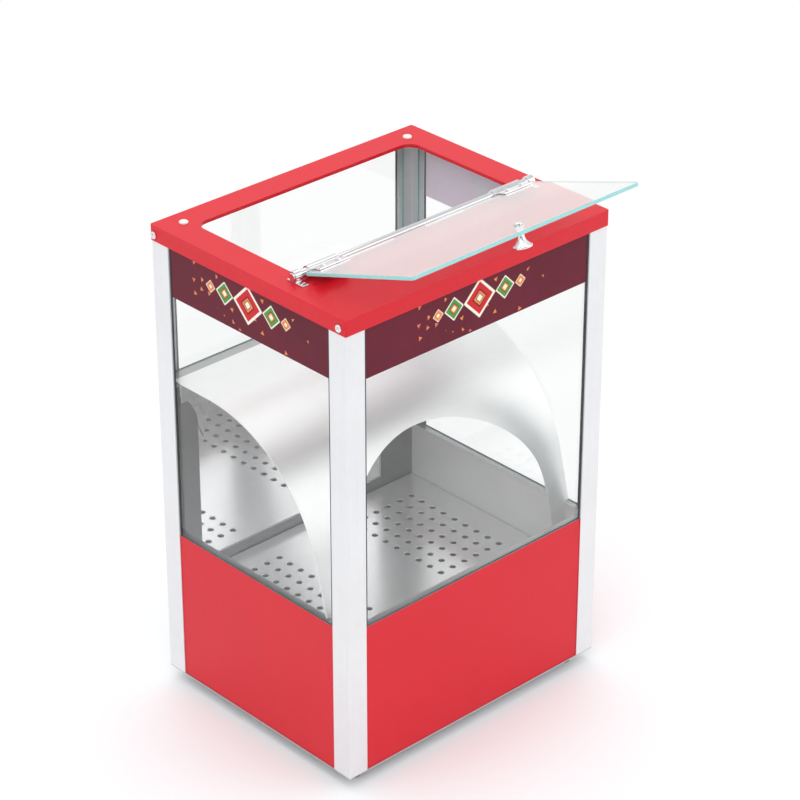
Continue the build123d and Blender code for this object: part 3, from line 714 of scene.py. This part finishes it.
def eased(profile: Sequence[Pair], width: float, steps: int = 3) -> Array:
    """Round the inner corners of a profile.

    Each corner P gives way to the curve (1-t)^2 A + 2t(1-t) P + t^2 B, where A and B lie on the two sides,
    width away from P or at 40 percent of a shorter side.

    Args:
        profile: its points.
        width: reach of each rounding.
        steps: pieces of each curve.
    Returns:
        The rounded profile's points.
    """
    line = np.array(profile, dtype=float)
    corner, ends = line[1:-1], []
    for other in (line[:-2], line[2:]):
        length = np.linalg.norm(other - corner, axis=1, keepdims=True)
        ends.append(corner + (other - corner) / length * np.minimum(width, 0.4 * length))
    t = np.linspace(0.0, 1.0, steps + 1)[None, :, None]
    curves = (1 - t) ** 2 * ends[0][:, None] + 2 * t * (1 - t) * corner[:, None] + t ** 2 * ends[1][:, None]
    return np.vstack([line[:1], curves.reshape(-1, 2), line[-1:]])


def lathe(profile: Sequence[Pair] | Array, segments: int = 48) -> Surface:
    """Surface of revolution: (r, h) sweeps the circle (r cos t, r sin t, h); r = 0 closes an end.

    Args:
        profile: (r, h) points, running so that the outside lies on the right of the path.
        segments: steps round the circle.
    Returns:
        (points, quads).
    """
    r, h = np.array(profile, dtype=float).T
    t = round_angles(segments)
    rings = [np.outer(r, np.cos(t)), np.outer(r, np.sin(t)), np.outer(h, np.ones(segments))]
    return np.stack(rings, axis=-1).reshape(-1, 3), between_rings(len(r), segments)


def pipe(path: Sequence[Spot], bend: float, radius: float, sides: int = 20, steps: int = 8) -> Surface:
    """Round rod along a level path whose corners are bent to a radius.

    A bend runs as centre + bend (before sin t - after cos t) from t = 0 to a quarter turn. The ring at each
    point is radius (side cos t + up sin t), where side is the path's outward normal. The ends are flat.

    Args:
        path: the corners.
        bend: radius of the bends.
        radius: radius of the rod.
        sides: steps round it.
        steps: pieces of each bend.
    Returns:
        (points, quads).
    """
    line = np.array(path, dtype=float)
    ways = np.diff(line, axis=0)
    ways /= np.linalg.norm(ways, axis=1, keepdims=True)
    before, after = ways[:-1, None], ways[1:, None]
    t = np.linspace(0, math.pi / 2, steps + 1)[None, :, None]
    bends = line[1:-1, None] + bend * (after - before - after * np.cos(t) + before * np.sin(t))
    line = np.vstack([line[:1], bends.reshape(-1, 3), line[-1:]])
    ahead = np.vstack([line[1] - line[0], line[2:] - line[:-2], line[-1] - line[-2]])
    side = np.cross(ahead / np.linalg.norm(ahead, axis=1, keepdims=True), UP)
    t = round_angles(sides)[None, :, None]
    points = line[:, None] + radius * (side[:, None] * np.cos(t) + UP * np.sin(t))
    k = np.arange(sides // 2 - 1)
    cap = np.stack([k, k + 1, sides - 2 - k, sides - 1 - k], axis=1)
    quads = [between_rings(len(line), sides), cap[:, ::-1], cap + (len(line) - 1) * sides]
    return points.reshape(-1, 3), np.vstack(quads)


@dataclass(frozen=True)
class PanHead:
    """Pan-head screw on a short shank; bar, soft and under are shares of the radius, lip of the height."""

    radius: float
    height: float
    shank: float = 2.0
    length: float = 2.4
    recess: bool = True
    rings: int = 22
    segments: int = 64
    bar: Pair = (0.27, 1.2)
    soft: float = 0.10
    under: float = 0.97
    crown: float = 0.55
    curve: float = 2.6
    cut: float = 0.6
    fall: float = 0.6
    lip: float = 0.06

    def beam(self, a: Array, b: Array) -> Array:
        """Mask of one bar of the recess at places across (a) and along (b) it, with soft edges."""
        wide, long = (np.clip((share * self.radius / 2 - np.abs(place)) / (self.soft * self.radius) + 0.5, 0, 1)
                      for share, place in zip(self.bar, (a, b)))
        return wide * long

    def surface(self) -> Surface:
        """Turn the screw.

        At the share s of the radius the top stands at h (0.45 + 0.55 sqrt(1 - s^2.6)), and the recess takes
        0.6 h (1 - 0.6 s) off where either of two crossing bars lies.

        Returns:
            (points, quads).
        """
        r, h = self.radius, self.height
        foot = [(0.0, -self.length), (self.shank, -self.length), (self.shank, 0.0), (r * self.under, 0.0),
                (r, self.lip * h)]
        dome = [(r * s, 0.0) for s in np.linspace(1.0, 0.0, self.rings)]
        points, quads = lathe(foot + dome, self.segments)
        top = points[len(foot) * self.segments:]
        x, y = top[:, 0], top[:, 1]
        s = np.minimum(np.hypot(x, y) / r, 1.0)
        cross = np.maximum(self.beam(x, y), self.beam(y, x)) * self.recess
        crown = 1 - self.crown + self.crown * np.sqrt(1 - s ** self.curve)
        top[:, 2] = h * crown - cross * self.cut * h * (1 - self.fall * s)
        return points, quads


class Shell:
    """Gathers surfaces drawn in millimetres into one mesh in metres."""

    def __init__(self) -> None:
        """Start empty."""
        self.points: list[Array] = []
        self.quads: list[Array] = []
        self.count = 0

    def add(self, surface: Surface, place: Array = np.eye(4)) -> "Shell":
        """Add a surface.

        Args:
            surface: (points, quads).
            place: 4 x 4 matrix that carries it.
        Returns:
            The shell itself.
        """
        points, quads = surface
        self.points.append((np.c_[points, np.ones(len(points))] @ place.T)[:, :3] * MM)
        self.quads.append(quads + self.count)
        self.count += len(points)
        return self


# ---- sub-assemblies
class Body(Enum):
    """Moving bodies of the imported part."""

    CABINET = "cabinet"
    LID = "lid"
    FLAP = "flap"
    TRAY = "tray"
    POWER = "power_switch"
    LIGHT = "light_switch"


class Assembly:
    """Base of every sub-assembly: puts pieces in the place of CAD nodes."""

    def seat(self, obj: Piece, node: str, skin: Skin, body: Body = Body.CABINET,
             slot: Slot | None = None) -> Piece:
        """Let an object stand in for a CAD node.

        Args:
            obj: the object.
            node: CAD node name.
            skin: its finish.
            body: CAD body it moves with.
            slot: not used.
        Returns:
            The object.
        """
        obj.data.materials.append(paint(skin))
        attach(obj, body.value)
        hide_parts(node)
        LOG.info("made %s", node)
        return obj

    def dress(self, node: str, skin: Skin, bevel: float = 0.0, **place: Any) -> Piece:
        """Stand a smooth, eased copy in place of a CAD node.

        Args:
            node: CAD node name.
            skin: its finish.
            bevel: width of the eased edges in metres; 0 leaves them as they are.
            place: body and slot, as for seat.
        Returns:
            The new object.
        """
        obj = make_object(f"{node}.look", *merged(node))
        tidy_edges(obj, flat=bevel > 0, sharp=SHARP, weld=False)
        if bevel > 0:
            ease = obj.modifiers.new("ease", "BEVEL")
            ease.width, ease.segments, ease.limit_method = bevel, 2, "ANGLE"
            ease.angle_limit = math.radians(EASE_ANGLE)
            ease.harden_normals = True
        return self.seat(obj, node, skin, **place)

    def form(self, shell: Shell, node: str, skin: Skin, sharp: float = SHARP, **place: Any) -> Piece:
        """Stand a gathered shell in place of a CAD node.

        Args:
            shell: the shell.
            node: CAD node name.
            skin: its finish.
            sharp: angle in degrees from which an edge stays sharp.
            place: body and slot, as for seat.
        Returns:
            The new object.
        """
        obj = make_object(f"{node}.look", np.vstack(shell.points), np.vstack(shell.quads))
        tidy_edges(obj, flat=False, sharp=sharp, weld=True)
        return self.seat(obj, node, skin, **place)


@dataclass
class CabinetFrame(Assembly):
    """Red top, corner posts, their screws and the sealing strips."""

    ease: float = 0.0004
    post_ease: float = 0.0008
    seal_ease: float = 0.0002
    top_head: PanHead = PanHead(5.0, 2.4, recess=False)
    top_screw: Spot = (158.0, 128.0, 545.0)
    skirt_head: PanHead = PanHead(4.2, 2.4)
    skirt_x: float = 185.0
    skirt_y: Pair = (-140.3, 144.0)
    skirt_z: float = 534.0

    def screws(self) -> None:
        """Set the top's and the skirt's screws; each cross stands at an angle of its own."""
        top, skirt = Shell(), Shell()
        x, y, z = self.top_screw
        for side in (-1, 1):
            top.add(self.top_head.surface(), move(side * x, y, z))
            for along in self.skirt_y:
                seat = move(side * self.skirt_x, along, self.skirt_z) @ turn(1, side * 90.0)
                skirt.add(self.skirt_head.surface(), seat @ turn(2, 20.0 + along))
        self.form(top, "top_screws", Skin.SCREW)
        self.form(skirt, "skirt_screws", Skin.CHROME)

    def build(self) -> None:
        """Dress each piece."""
        self.dress("top_frame", Skin.ENAMEL, self.ease)
        self.screws()
        for post in ("front_left", "front_right", "rear_left", "rear_right"):
            self.dress(f"post_{post}", Skin.POST, self.post_ease)
        self.dress("pane_gaskets", Skin.SEAL, self.seal_ease)


@dataclass
class Panes(Assembly):
    """The glass: each pane keeps clear faces and gets tinted ground edges.

    A pane is thinned by a hair about its middle plane, so that what it lies against shows through it.
    """

    relief: float = 0.04
    face_cosine: float = 0.9

    def pane(self, node: str, skin: Skin, body: Body) -> None:
        """Dress one pane, thin it and give its edge faces the ground finish.

        Args:
            node: CAD node name.
            skin: finish of its faces.
            body: CAD body it moves with.
        """
        mesh = self.dress(node, skin, body=body).data
        normals = read(mesh.polygons, "normal", 3)
        main = normals[int(np.argmax(read(mesh.polygons, "area")))]
        points = read(mesh.vertices, "co", 3)
        depth = (points - (points.min(axis=0) + points.max(axis=0)) / 2) @ main
        mesh.vertices.foreach_set("co", (points - np.outer(depth, main) * self.relief).ravel())
        mesh.materials.append(paint(Skin.EDGE))
        edge = np.abs(normals @ main) < self.face_cosine
        mesh.polygons.foreach_set("material_index", edge.astype(np.int32))

    def build(self) -> None:
        """Dress the four walls and the lid."""
        for wall in ("front", "left", "right", "rear"):
            self.pane(f"glass_{wall}", Skin.GLASS, Body.CABINET)
        self.pane("lid_glass", Skin.LID, Body.LID)


@dataclass
class SignBands(Assembly):
    """The printed films: thin slabs with a flat pattern plane in millimetres and a pale back."""

    walls: dict[str, Spot] = field(default_factory=lambda: {
        "sign_front": (0.0, -1.0, 0.0), "sign_left": (-1.0, 0.0, 0.0), "sign_right": (1.0, 0.0, 0.0)})
    columns: int = 48
    rows: int = 8
    gap: float = 0.00015

    def film(self, node: str, out: Array) -> None:
        """Lay one film as the grid middle + u along + v up, in two skins and a rim.

        Args:
            node: CAD node name.
            out: outward normal of its wall.
        """
        low, high = (np.array(c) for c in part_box(node))
        along, size = np.cross(UP, out), high - low
        n, m, thick = self.columns, self.rows, abs(size @ out)
        u, v = np.meshgrid(np.linspace(-0.5, 0.5, n + 1) * abs(size @ along),
                           np.linspace(-0.5, 0.5, m + 1) * size[2])
        flat = np.stack([u, v], axis=-1).reshape(-1, 2)
        grid = (low + high) / 2 + np.outer(flat[:, 0], along) + np.outer(flat[:, 1], UP)
        points = np.vstack([grid + out * thick / 2, grid - out * (thick / 2 - self.gap)])
        index = np.arange(len(grid)).reshape(m + 1, n + 1)
        skin = np.stack([index[:-1, :-1], index[:-1, 1:], index[1:, 1:], index[1:, :-1]], axis=-1).reshape(-1, 4)
        rim = np.concatenate([index[0, :-1], index[:-1, -1], index[-1, :0:-1], index[:0:-1, 0]])
        after = np.roll(rim, -1)
        wall = np.stack([rim, rim + len(grid), after + len(grid), after], axis=1)
        obj = make_object(f"{node}.look", points, np.vstack([skin, skin[:, ::-1] + len(grid), wall]))
        corner = read(obj.data.loops, "vertex_index", kind=np.int32)
        plane = np.vstack([flat, flat])[corner] / MM
        obj.data.uv_layers.new(name="band").data.foreach_set("uv", plane.ravel().astype(np.float32))
        behind = np.repeat([0.0, 1.0, 0.0], [skin.size, skin.size, wall.size])
        back = obj.data.attributes.new("back", "FLOAT", "CORNER")
        back.data.foreach_set("value", behind.astype(np.float32))
        self.seat(obj, node, Skin.PRINT)

    def build(self) -> None:
        """Lay each wall's film."""
        for node, out in self.walls.items():
            self.film(node, np.array(out))


@dataclass
class Lid(Assembly):
    """Hinge bar, clamps and knob of the glass lid."""

    hinge: Spot = (0.0, -53.0, 551.5)
    opened: float = 161.6
    knob: Pair = (10.0, 144.0)
    half_glass: float = 2.0
    screw: PanHead = PanHead(4.6, 2.6, length=11.0)
    screw_turn: float = 30.0
    outline: Outline = ((0, 0), (6, 0), (6, 1.2), (4.7, 3.2), (4.2, 6), (4.2, 9), (4.8, 11.8),
                                 (6.2, 14.5), (8.4, 16.7), (10.5, 17.6), (10.5, 19.2), (9.8, 20), (4.0, 19.7),
                                 (0, 19.6))
    rounding: float = 0.7

    def build(self) -> None:
        """Dress each piece; the knob is a turned form on the outside of the glass, its screw inside."""
        self.dress("hinge_bar", Skin.CHROME)
        self.dress("hinge_brackets", Skin.CHROME, EASE)
        self.dress("hinge_clamps", Skin.CHROME, EASE, body=Body.LID)
        seat = move(*self.hinge) @ turn(0, self.opened)
        knob = Shell().add(lathe(eased(self.outline, self.rounding)), seat @ move(*self.knob, self.half_glass))
        self.form(knob, "lid_knob", Skin.CHROME, SHARP_TURNED, body=Body.LID)
        inside = seat @ move(*self.knob, -self.half_glass) @ turn(0, 180.0) @ turn(2, self.screw_turn)
        self.form(Shell().add(self.screw.surface(), inside), "knob_screw", Skin.CHROME, body=Body.LID)


@dataclass
class PerforatedFloor(Assembly):
    """Sheet with two fields of punched holes, drawn cell by cell so that every hole is round and rolled."""

    half: Pair = (180.2, 145.0)
    top: float = 105.0
    thick: float = 1.2
    apron: float = 10.0
    pitch: float = 18.0
    hole: float = 3.5
    last: float = 144.0
    columns: int = 6
    rows: int = 13
    sides: int = 24
    roll: Outline = ((0.70, 0.0), (0.55, 0.0), (0.30, 0.06), (0.10, 0.22), (0.0, 0.45))
    sharp: float = 40.0

    def cell(self) -> Surface:
        """Draw one square with a hole round the origin.

        Rings run from the square's edge (the ray at angle t meets it at distance (pitch/2) / max(|cos t|,
        |sin t|)) over the rolled rim down the wall to the lower face.

        Returns:
            (points, quads).
        """
        t = round_angles(self.sides)
        unit = np.stack([np.cos(t), np.sin(t)], axis=1)
        edge = self.pitch / 2 / np.abs(unit).max(axis=1)
        grow, drop = np.array(self.roll + ((0.0, self.thick),)).T
        reach = np.vstack([edge, np.repeat(self.hole + grow[:, None], self.sides, axis=1), edge])
        level = self.top - np.concatenate([[0.0], drop, [self.thick]])
        flat = (reach[:, :, None] * unit).reshape(-1, 2)
        return np.c_[flat, np.repeat(level, self.sides)], between_rings(len(level), self.sides)

    def build(self) -> None:
        """Lay the cells and the plain sheet round them, then the rim and the two turned-down edges."""
        p, low, (a, b) = self.pitch, self.top - self.thick, self.half
        shell, cell = Shell(), self.cell()
        down_up, ring = np.array([[3, 2, 1, 0], [4, 5, 6, 7]]), between_rings(2, 4)
        first = self.last - (self.columns - 1) * p - p / 2
        field_x = first + np.arange(self.columns + 1) * p
        xs = np.concatenate([[-a], -field_x[::-1], field_x, [a]])
        ys = np.concatenate([[-b], (np.arange(self.rows + 1) - self.rows / 2) * p, [b]])
        for x0, x1 in zip(xs, xs[1:]):
            for y0, y1 in zip(ys, ys[1:]):
                x, y = (x0 + x1) / 2, (y0 + y1) / 2
                if first < abs(x) < self.last + p / 2 and abs(y) < ys[-2]:
                    shell.add(cell, move(x, y, 0.0))
                else:
                    shell.add((corners(x0, x1, y0, y1, (low, self.top)), down_up))
        shell.add((corners(-a, a, -b, b, (low, self.top)), ring))
        for y0 in (-b, b - self.thick):
            apron = corners(-a, a, y0, y0 + self.thick, (self.top - self.apron, low))
            shell.add((apron, np.vstack([down_up, ring])))
        self.form(shell, "perforated_floor", Skin.FLOOR, self.sharp)


@dataclass
class Interior(Assembly):
    """Slide, sill, perforated floor and its supports."""

    # Faces of the slide that look this way get the painted shade of its underside.
    under: Spot = (0.0, 0.7071, -0.7071)
    painted_shade_cosine: float = 0.3

    def build(self) -> None:
        """Dress each piece."""
        # The downward faces of the slide are painted darker: painted shade under the slide.
        face_towards(self.dress("chip_slide", Skin.SLIDE), self.under, Skin.SLIDE_PAINTED_SHADE, self.painted_shade_cosine)
        self.dress("sill_rail", Skin.SILL, EASE)
        PerforatedFloor().build()
        self.dress("floor_supports", Skin.SHEET, EASE)


@dataclass
class Casing(Assembly):
    """Lower panels, rear panel, base and feet."""

    foot: Outline = ((0, -13.0), (4.2, -13.0), (4.2, -15.0), (10.0, -15.0), (12.5, -2.0), (12.5, 0.0),
                              (0, 0.0))
    rounding: float = 0.9
    feet_at: Pair = (160.0, 125.0)

    def build(self) -> None:
        """Dress each piece; the panels' inner faces get the near-white liner with painted light, their upper edges
        the sill finish, and the rear panel's inner face a near-black painted shade.
        """
        for side, inward in (("front", (0, 1, 0)), ("left", (1, 0, 0)), ("right", (-1, 0, 0))):
            panel = self.dress(f"{side}_panel", Skin.ENAMEL, EASE, slot=Slot.CASING)
            # The inner faces get the liner, made near-white: partly painted light.
            face_towards(panel, inward, Skin.LINER_PAINTED_LIGHT)
            face_towards(panel, (0, 0, 1), Skin.SILL)
        # The rear panel's inner face is painted near-black: painted shade.
        face_towards(self.dress("rear_panel", Skin.SHEET), (0, -1, 0), Skin.SHOULDER_PAINTED_SHADE)
        self.dress("base_plate", Skin.SHEET, EASE)
        foot, feet = lathe(eased(self.foot, self.rounding)), Shell()
        for x, y in ((-1, -1), (-1, 1), (1, -1), (1, 1)):
            feet.add(foot, move(x * self.feet_at[0], y * self.feet_at[1], 0.0))
        self.form(feet, "feet", Skin.RUBBER, SHARP_TURNED)


class ServingFlap(Assembly):
    """Rear flap with its hinges and handle."""

    def build(self) -> None:
        """Dress each piece."""
        self.dress("rear_flap", Skin.FLAP, EASE, body=Body.FLAP)
        self.dress("flap_handle", Skin.CHROME, body=Body.FLAP)
        self.dress("flap_brackets", Skin.SHEET, slot=Slot.BRIGHT)
        self.dress("flap_pins", Skin.CHROME)


class CrumbTray(Assembly):
    """Tray, pull and runners."""

    def build(self) -> None:
        """Dress each piece."""
        self.dress("crumb_tray", Skin.SHEET, EASE, body=Body.TRAY)
        self.dress("tray_pull", Skin.CHROME, body=Body.TRAY)
        self.dress("tray_runners", Skin.SHEET)


@dataclass
class Electrics(Assembly):
    """Heater, control box, switches, cord entry and lamp."""

    level: float = 88.0
    route: Outline = ((114, 118), (-150, 118), (-150, -100), (150, -100), (150, 30), (60, 30), (60, 80),
                               (114, 80))
    bend: float = 20.0
    rod: float = 3.25
    entry: Spot = (131.0, 147.6, 30.0)
    bush: Outline = ((4, 11), (4, -9), (8, -9), (8, 0), (11, 0), (11, 3), (9.4, 6.5), (7, 11), (4, 11))
    bush_rounding: float = 0.6
    nut: Outline = ((8, -5), (11, -5), (11, -1), (8, -1))
    nut_sides: int = 6
    gland_sharp: float = 40.0
    lamp_ease: float = 0.0002

    def build(self) -> None:
        """Dress each piece."""
        rod = pipe([(x, y, self.level) for x, y in self.route], self.bend, self.rod)
        self.form(Shell().add(rod), "heater_element", Skin.SHEATH, SHARP_TURNED)
        self.dress("heater_clips", Skin.SHEET)
        self.dress("control_box", Skin.SHEET, EASE)
        self.dress("thermostat", Skin.PLASTIC)
        self.dress("switch_bodies", Skin.PLASTIC, EASE)
        self.dress("power_rocker", Skin.PLASTIC, EASE, body=Body.POWER)
        self.dress("light_rocker", Skin.PLASTIC, EASE, body=Body.LIGHT)
        seat = move(*self.entry) @ turn(0, -90.0)
        gland = Shell().add(lathe(eased(self.bush, self.bush_rounding)), seat)
        gland.add(lathe(self.nut, self.nut_sides), seat)
        self.form(gland, "cord_gland", Skin.PLASTIC, self.gland_sharp)
        self.dress("lamp_housing", Skin.SHEET, self.lamp_ease)
        self.dress("lamp_holders", Skin.PLASTIC, EASE)
        self.dress("lamp_tube", Skin.TUBE)


# ---- studio
@dataclass(frozen=True)
class StudioFloor(Finish):
    """Pale floor that goes over to plain white away from the object, for seen and mirrored rays only."""

    tones: tuple[Colour, Colour] = ((0.94, 0.94, 0.94, 1), (0.95, 0.95, 0.95, 1))
    fade: Pair = (0.18, 0.80)

    def lay(self, c: Coat) -> None:
        """Lay the floor and the white over it.

        Args:
            c: the coat.
        """
        g = c.g
        c.set(Base_Color=g.mix(g.noise(c.where, 3.0), *self.tones), Roughness=0.9, Specular_IOR_Level=0.1)
        path = g.add("LightPath").outputs
        seen = g.math("MAXIMUM", path["Is Camera Ray"],
                      g.math("MAXIMUM", path["Is Glossy Ray"], path["Is Transmission Ray"]))
        radius = g.add("VectorMath", {0: c.where}, operation="LENGTH").outputs["Value"]
        far = g.math("MULTIPLY", g.remap(radius, 0.0, 1.0, *self.fade), seen)
        white = g.add("Emission", {"Color": WHITE, "Strength": 1.0}).outputs[0]
        c.show(g.blend(far, c.shader.outputs[0], white))


@dataclass
class Studio:
    """Pale floor, soft lamps, white surround with one dark side, and the camera at the photograph's angle."""

    eye: Spot = (-1.9028, -2.0636, 1.8799)
    turn: float = -0.752
    tilt: float = 0.505
    sensor: float = 36.0
    lens: float = 135.0
    ground: float = -0.015
    reach: float = 12.0
    ambient: float = 0.88
    ambient_tint: Colour = (0.95, 0.97, 1.0, 1.0)
    dim: Pair = (0.95, 0.75)
    dim_heights: Pair = (0.1, 0.8)
    dark_side: Spot = (-0.598, -0.639, 0.484)
    dark: float = 0.22
    dark_cone: Pair = (0.80, 0.92)
    aim: Spot = (0.0, 0.0, 0.3)
    lamps: dict[str, tuple[Spot, float, float]] = field(default_factory=lambda: {
        "key": ((-2.0, -1.4, 2.8), 3.0, 28.0), "fill": ((2.2, -2.2, 1.8), 2.8, 18.0),
        "top": ((0.2, 0.8, 3.0), 3.0, 26.0)})

    def hang(self, name: str, data: Any, spot: Spot, way: Vector) -> Piece:
        """Put a lamp or camera in the scene.

        Args:
            name: object name.
            data: its light or camera data.
            spot: its position.
            way: the direction in which it looks.
        Returns:
            The object.
        """
        obj = bpy.data.objects.new(name, data)
        obj.location = spot
        obj.rotation_mode = "QUATERNION"
        obj.rotation_quaternion = way.to_track_quat("-Z", "Y")
        bpy.context.scene.collection.objects.link(obj)
        return obj

    def floor(self) -> None:
        """Lay the floor under the feet."""
        s = self.reach
        square = corners(-s, s, -s, s, (self.ground, self.ground))[:4]
        floor = make_object("floor", square, np.arange(4)[None])
        floor.data.materials.append(StudioFloor("studio_floor", WHITE).build())

    def light(self) -> None:
        """Hang the square lamps, each aimed at the object."""
        for name, (spot, size, power) in self.lamps.items():
            data = bpy.data.lights.new(name, "AREA")
            data.shape, data.size, data.energy = "SQUARE", size, power
            self.hang(name, data, spot, Vector(self.aim) - Vector(spot))

    def surround(self) -> None:
        """White surround; in reflections it dims with height, and has one dark side."""
        world = bpy.data.worlds.new("surround")
        bpy.context.scene.world = world
        world.use_nodes = True
        g = Graph(world.node_tree)
        ambient = g.tree.nodes["Background"]
        g.put(ambient.inputs["Color"], self.ambient_tint)
        g.put(ambient.inputs["Strength"], self.ambient)
        seen = g.add("Background", {"Color": WHITE, "Strength": 1.0}).outputs[0]
        way = g.add("TexCoord").outputs["Generated"]
        fade = g.remap(g.parts(way)[2], *self.dim, *self.dim_heights)
        near = g.vector("DOT_PRODUCT", way, self.dark_side)["Value"]
        fade = g.math("MULTIPLY", fade, g.remap(near, 1.0, self.dark, *self.dark_cone))
        mirrored = g.add("Background", {"Color": WHITE, "Strength": fade}).outputs[0]
        path = g.add("LightPath").outputs
        pick = ambient.outputs[0]
        for ray, shader in (("Is Glossy Ray", mirrored), ("Is Transmission Ray", seen), ("Is Camera Ray", seen)):
            pick = g.blend(path[ray], pick, shader)
        g.put(g.tree.nodes["World Output"].inputs[0], pick)

    def camera(self) -> None:
        """Stand the camera; it looks along (-sin a cos e, cos a cos e, -sin e) for turn a and tilt e."""
        data = bpy.data.cameras.new("camera")
        data.lens, data.sensor_width = self.lens, self.sensor
        a, e = self.turn, self.tilt
        way = Vector((-math.sin(a) * math.cos(e), math.cos(a) * math.cos(e), -math.sin(e)))
        bpy.context.scene.camera = self.hang("camera", data, self.eye, way)

    def build(self) -> None:
        """Make floor, lamps, surround and camera, and show colours as they are."""
        self.floor()
        self.light()
        self.surround()
        self.camera()
        bpy.context.scene.view_settings.view_transform = "Standard"


def main() -> None:
    """Build the whole scene around the frame."""
    logging.basicConfig(level=logging.INFO, format="%(name)s: %(message)s")
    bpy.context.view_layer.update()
    for part in (CabinetFrame, Panes, SignBands, Lid, Interior, Casing, ServingFlap, CrumbTray, Electrics, Studio):
        part().build()
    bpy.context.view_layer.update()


if __name__ == "__main__":
    main()
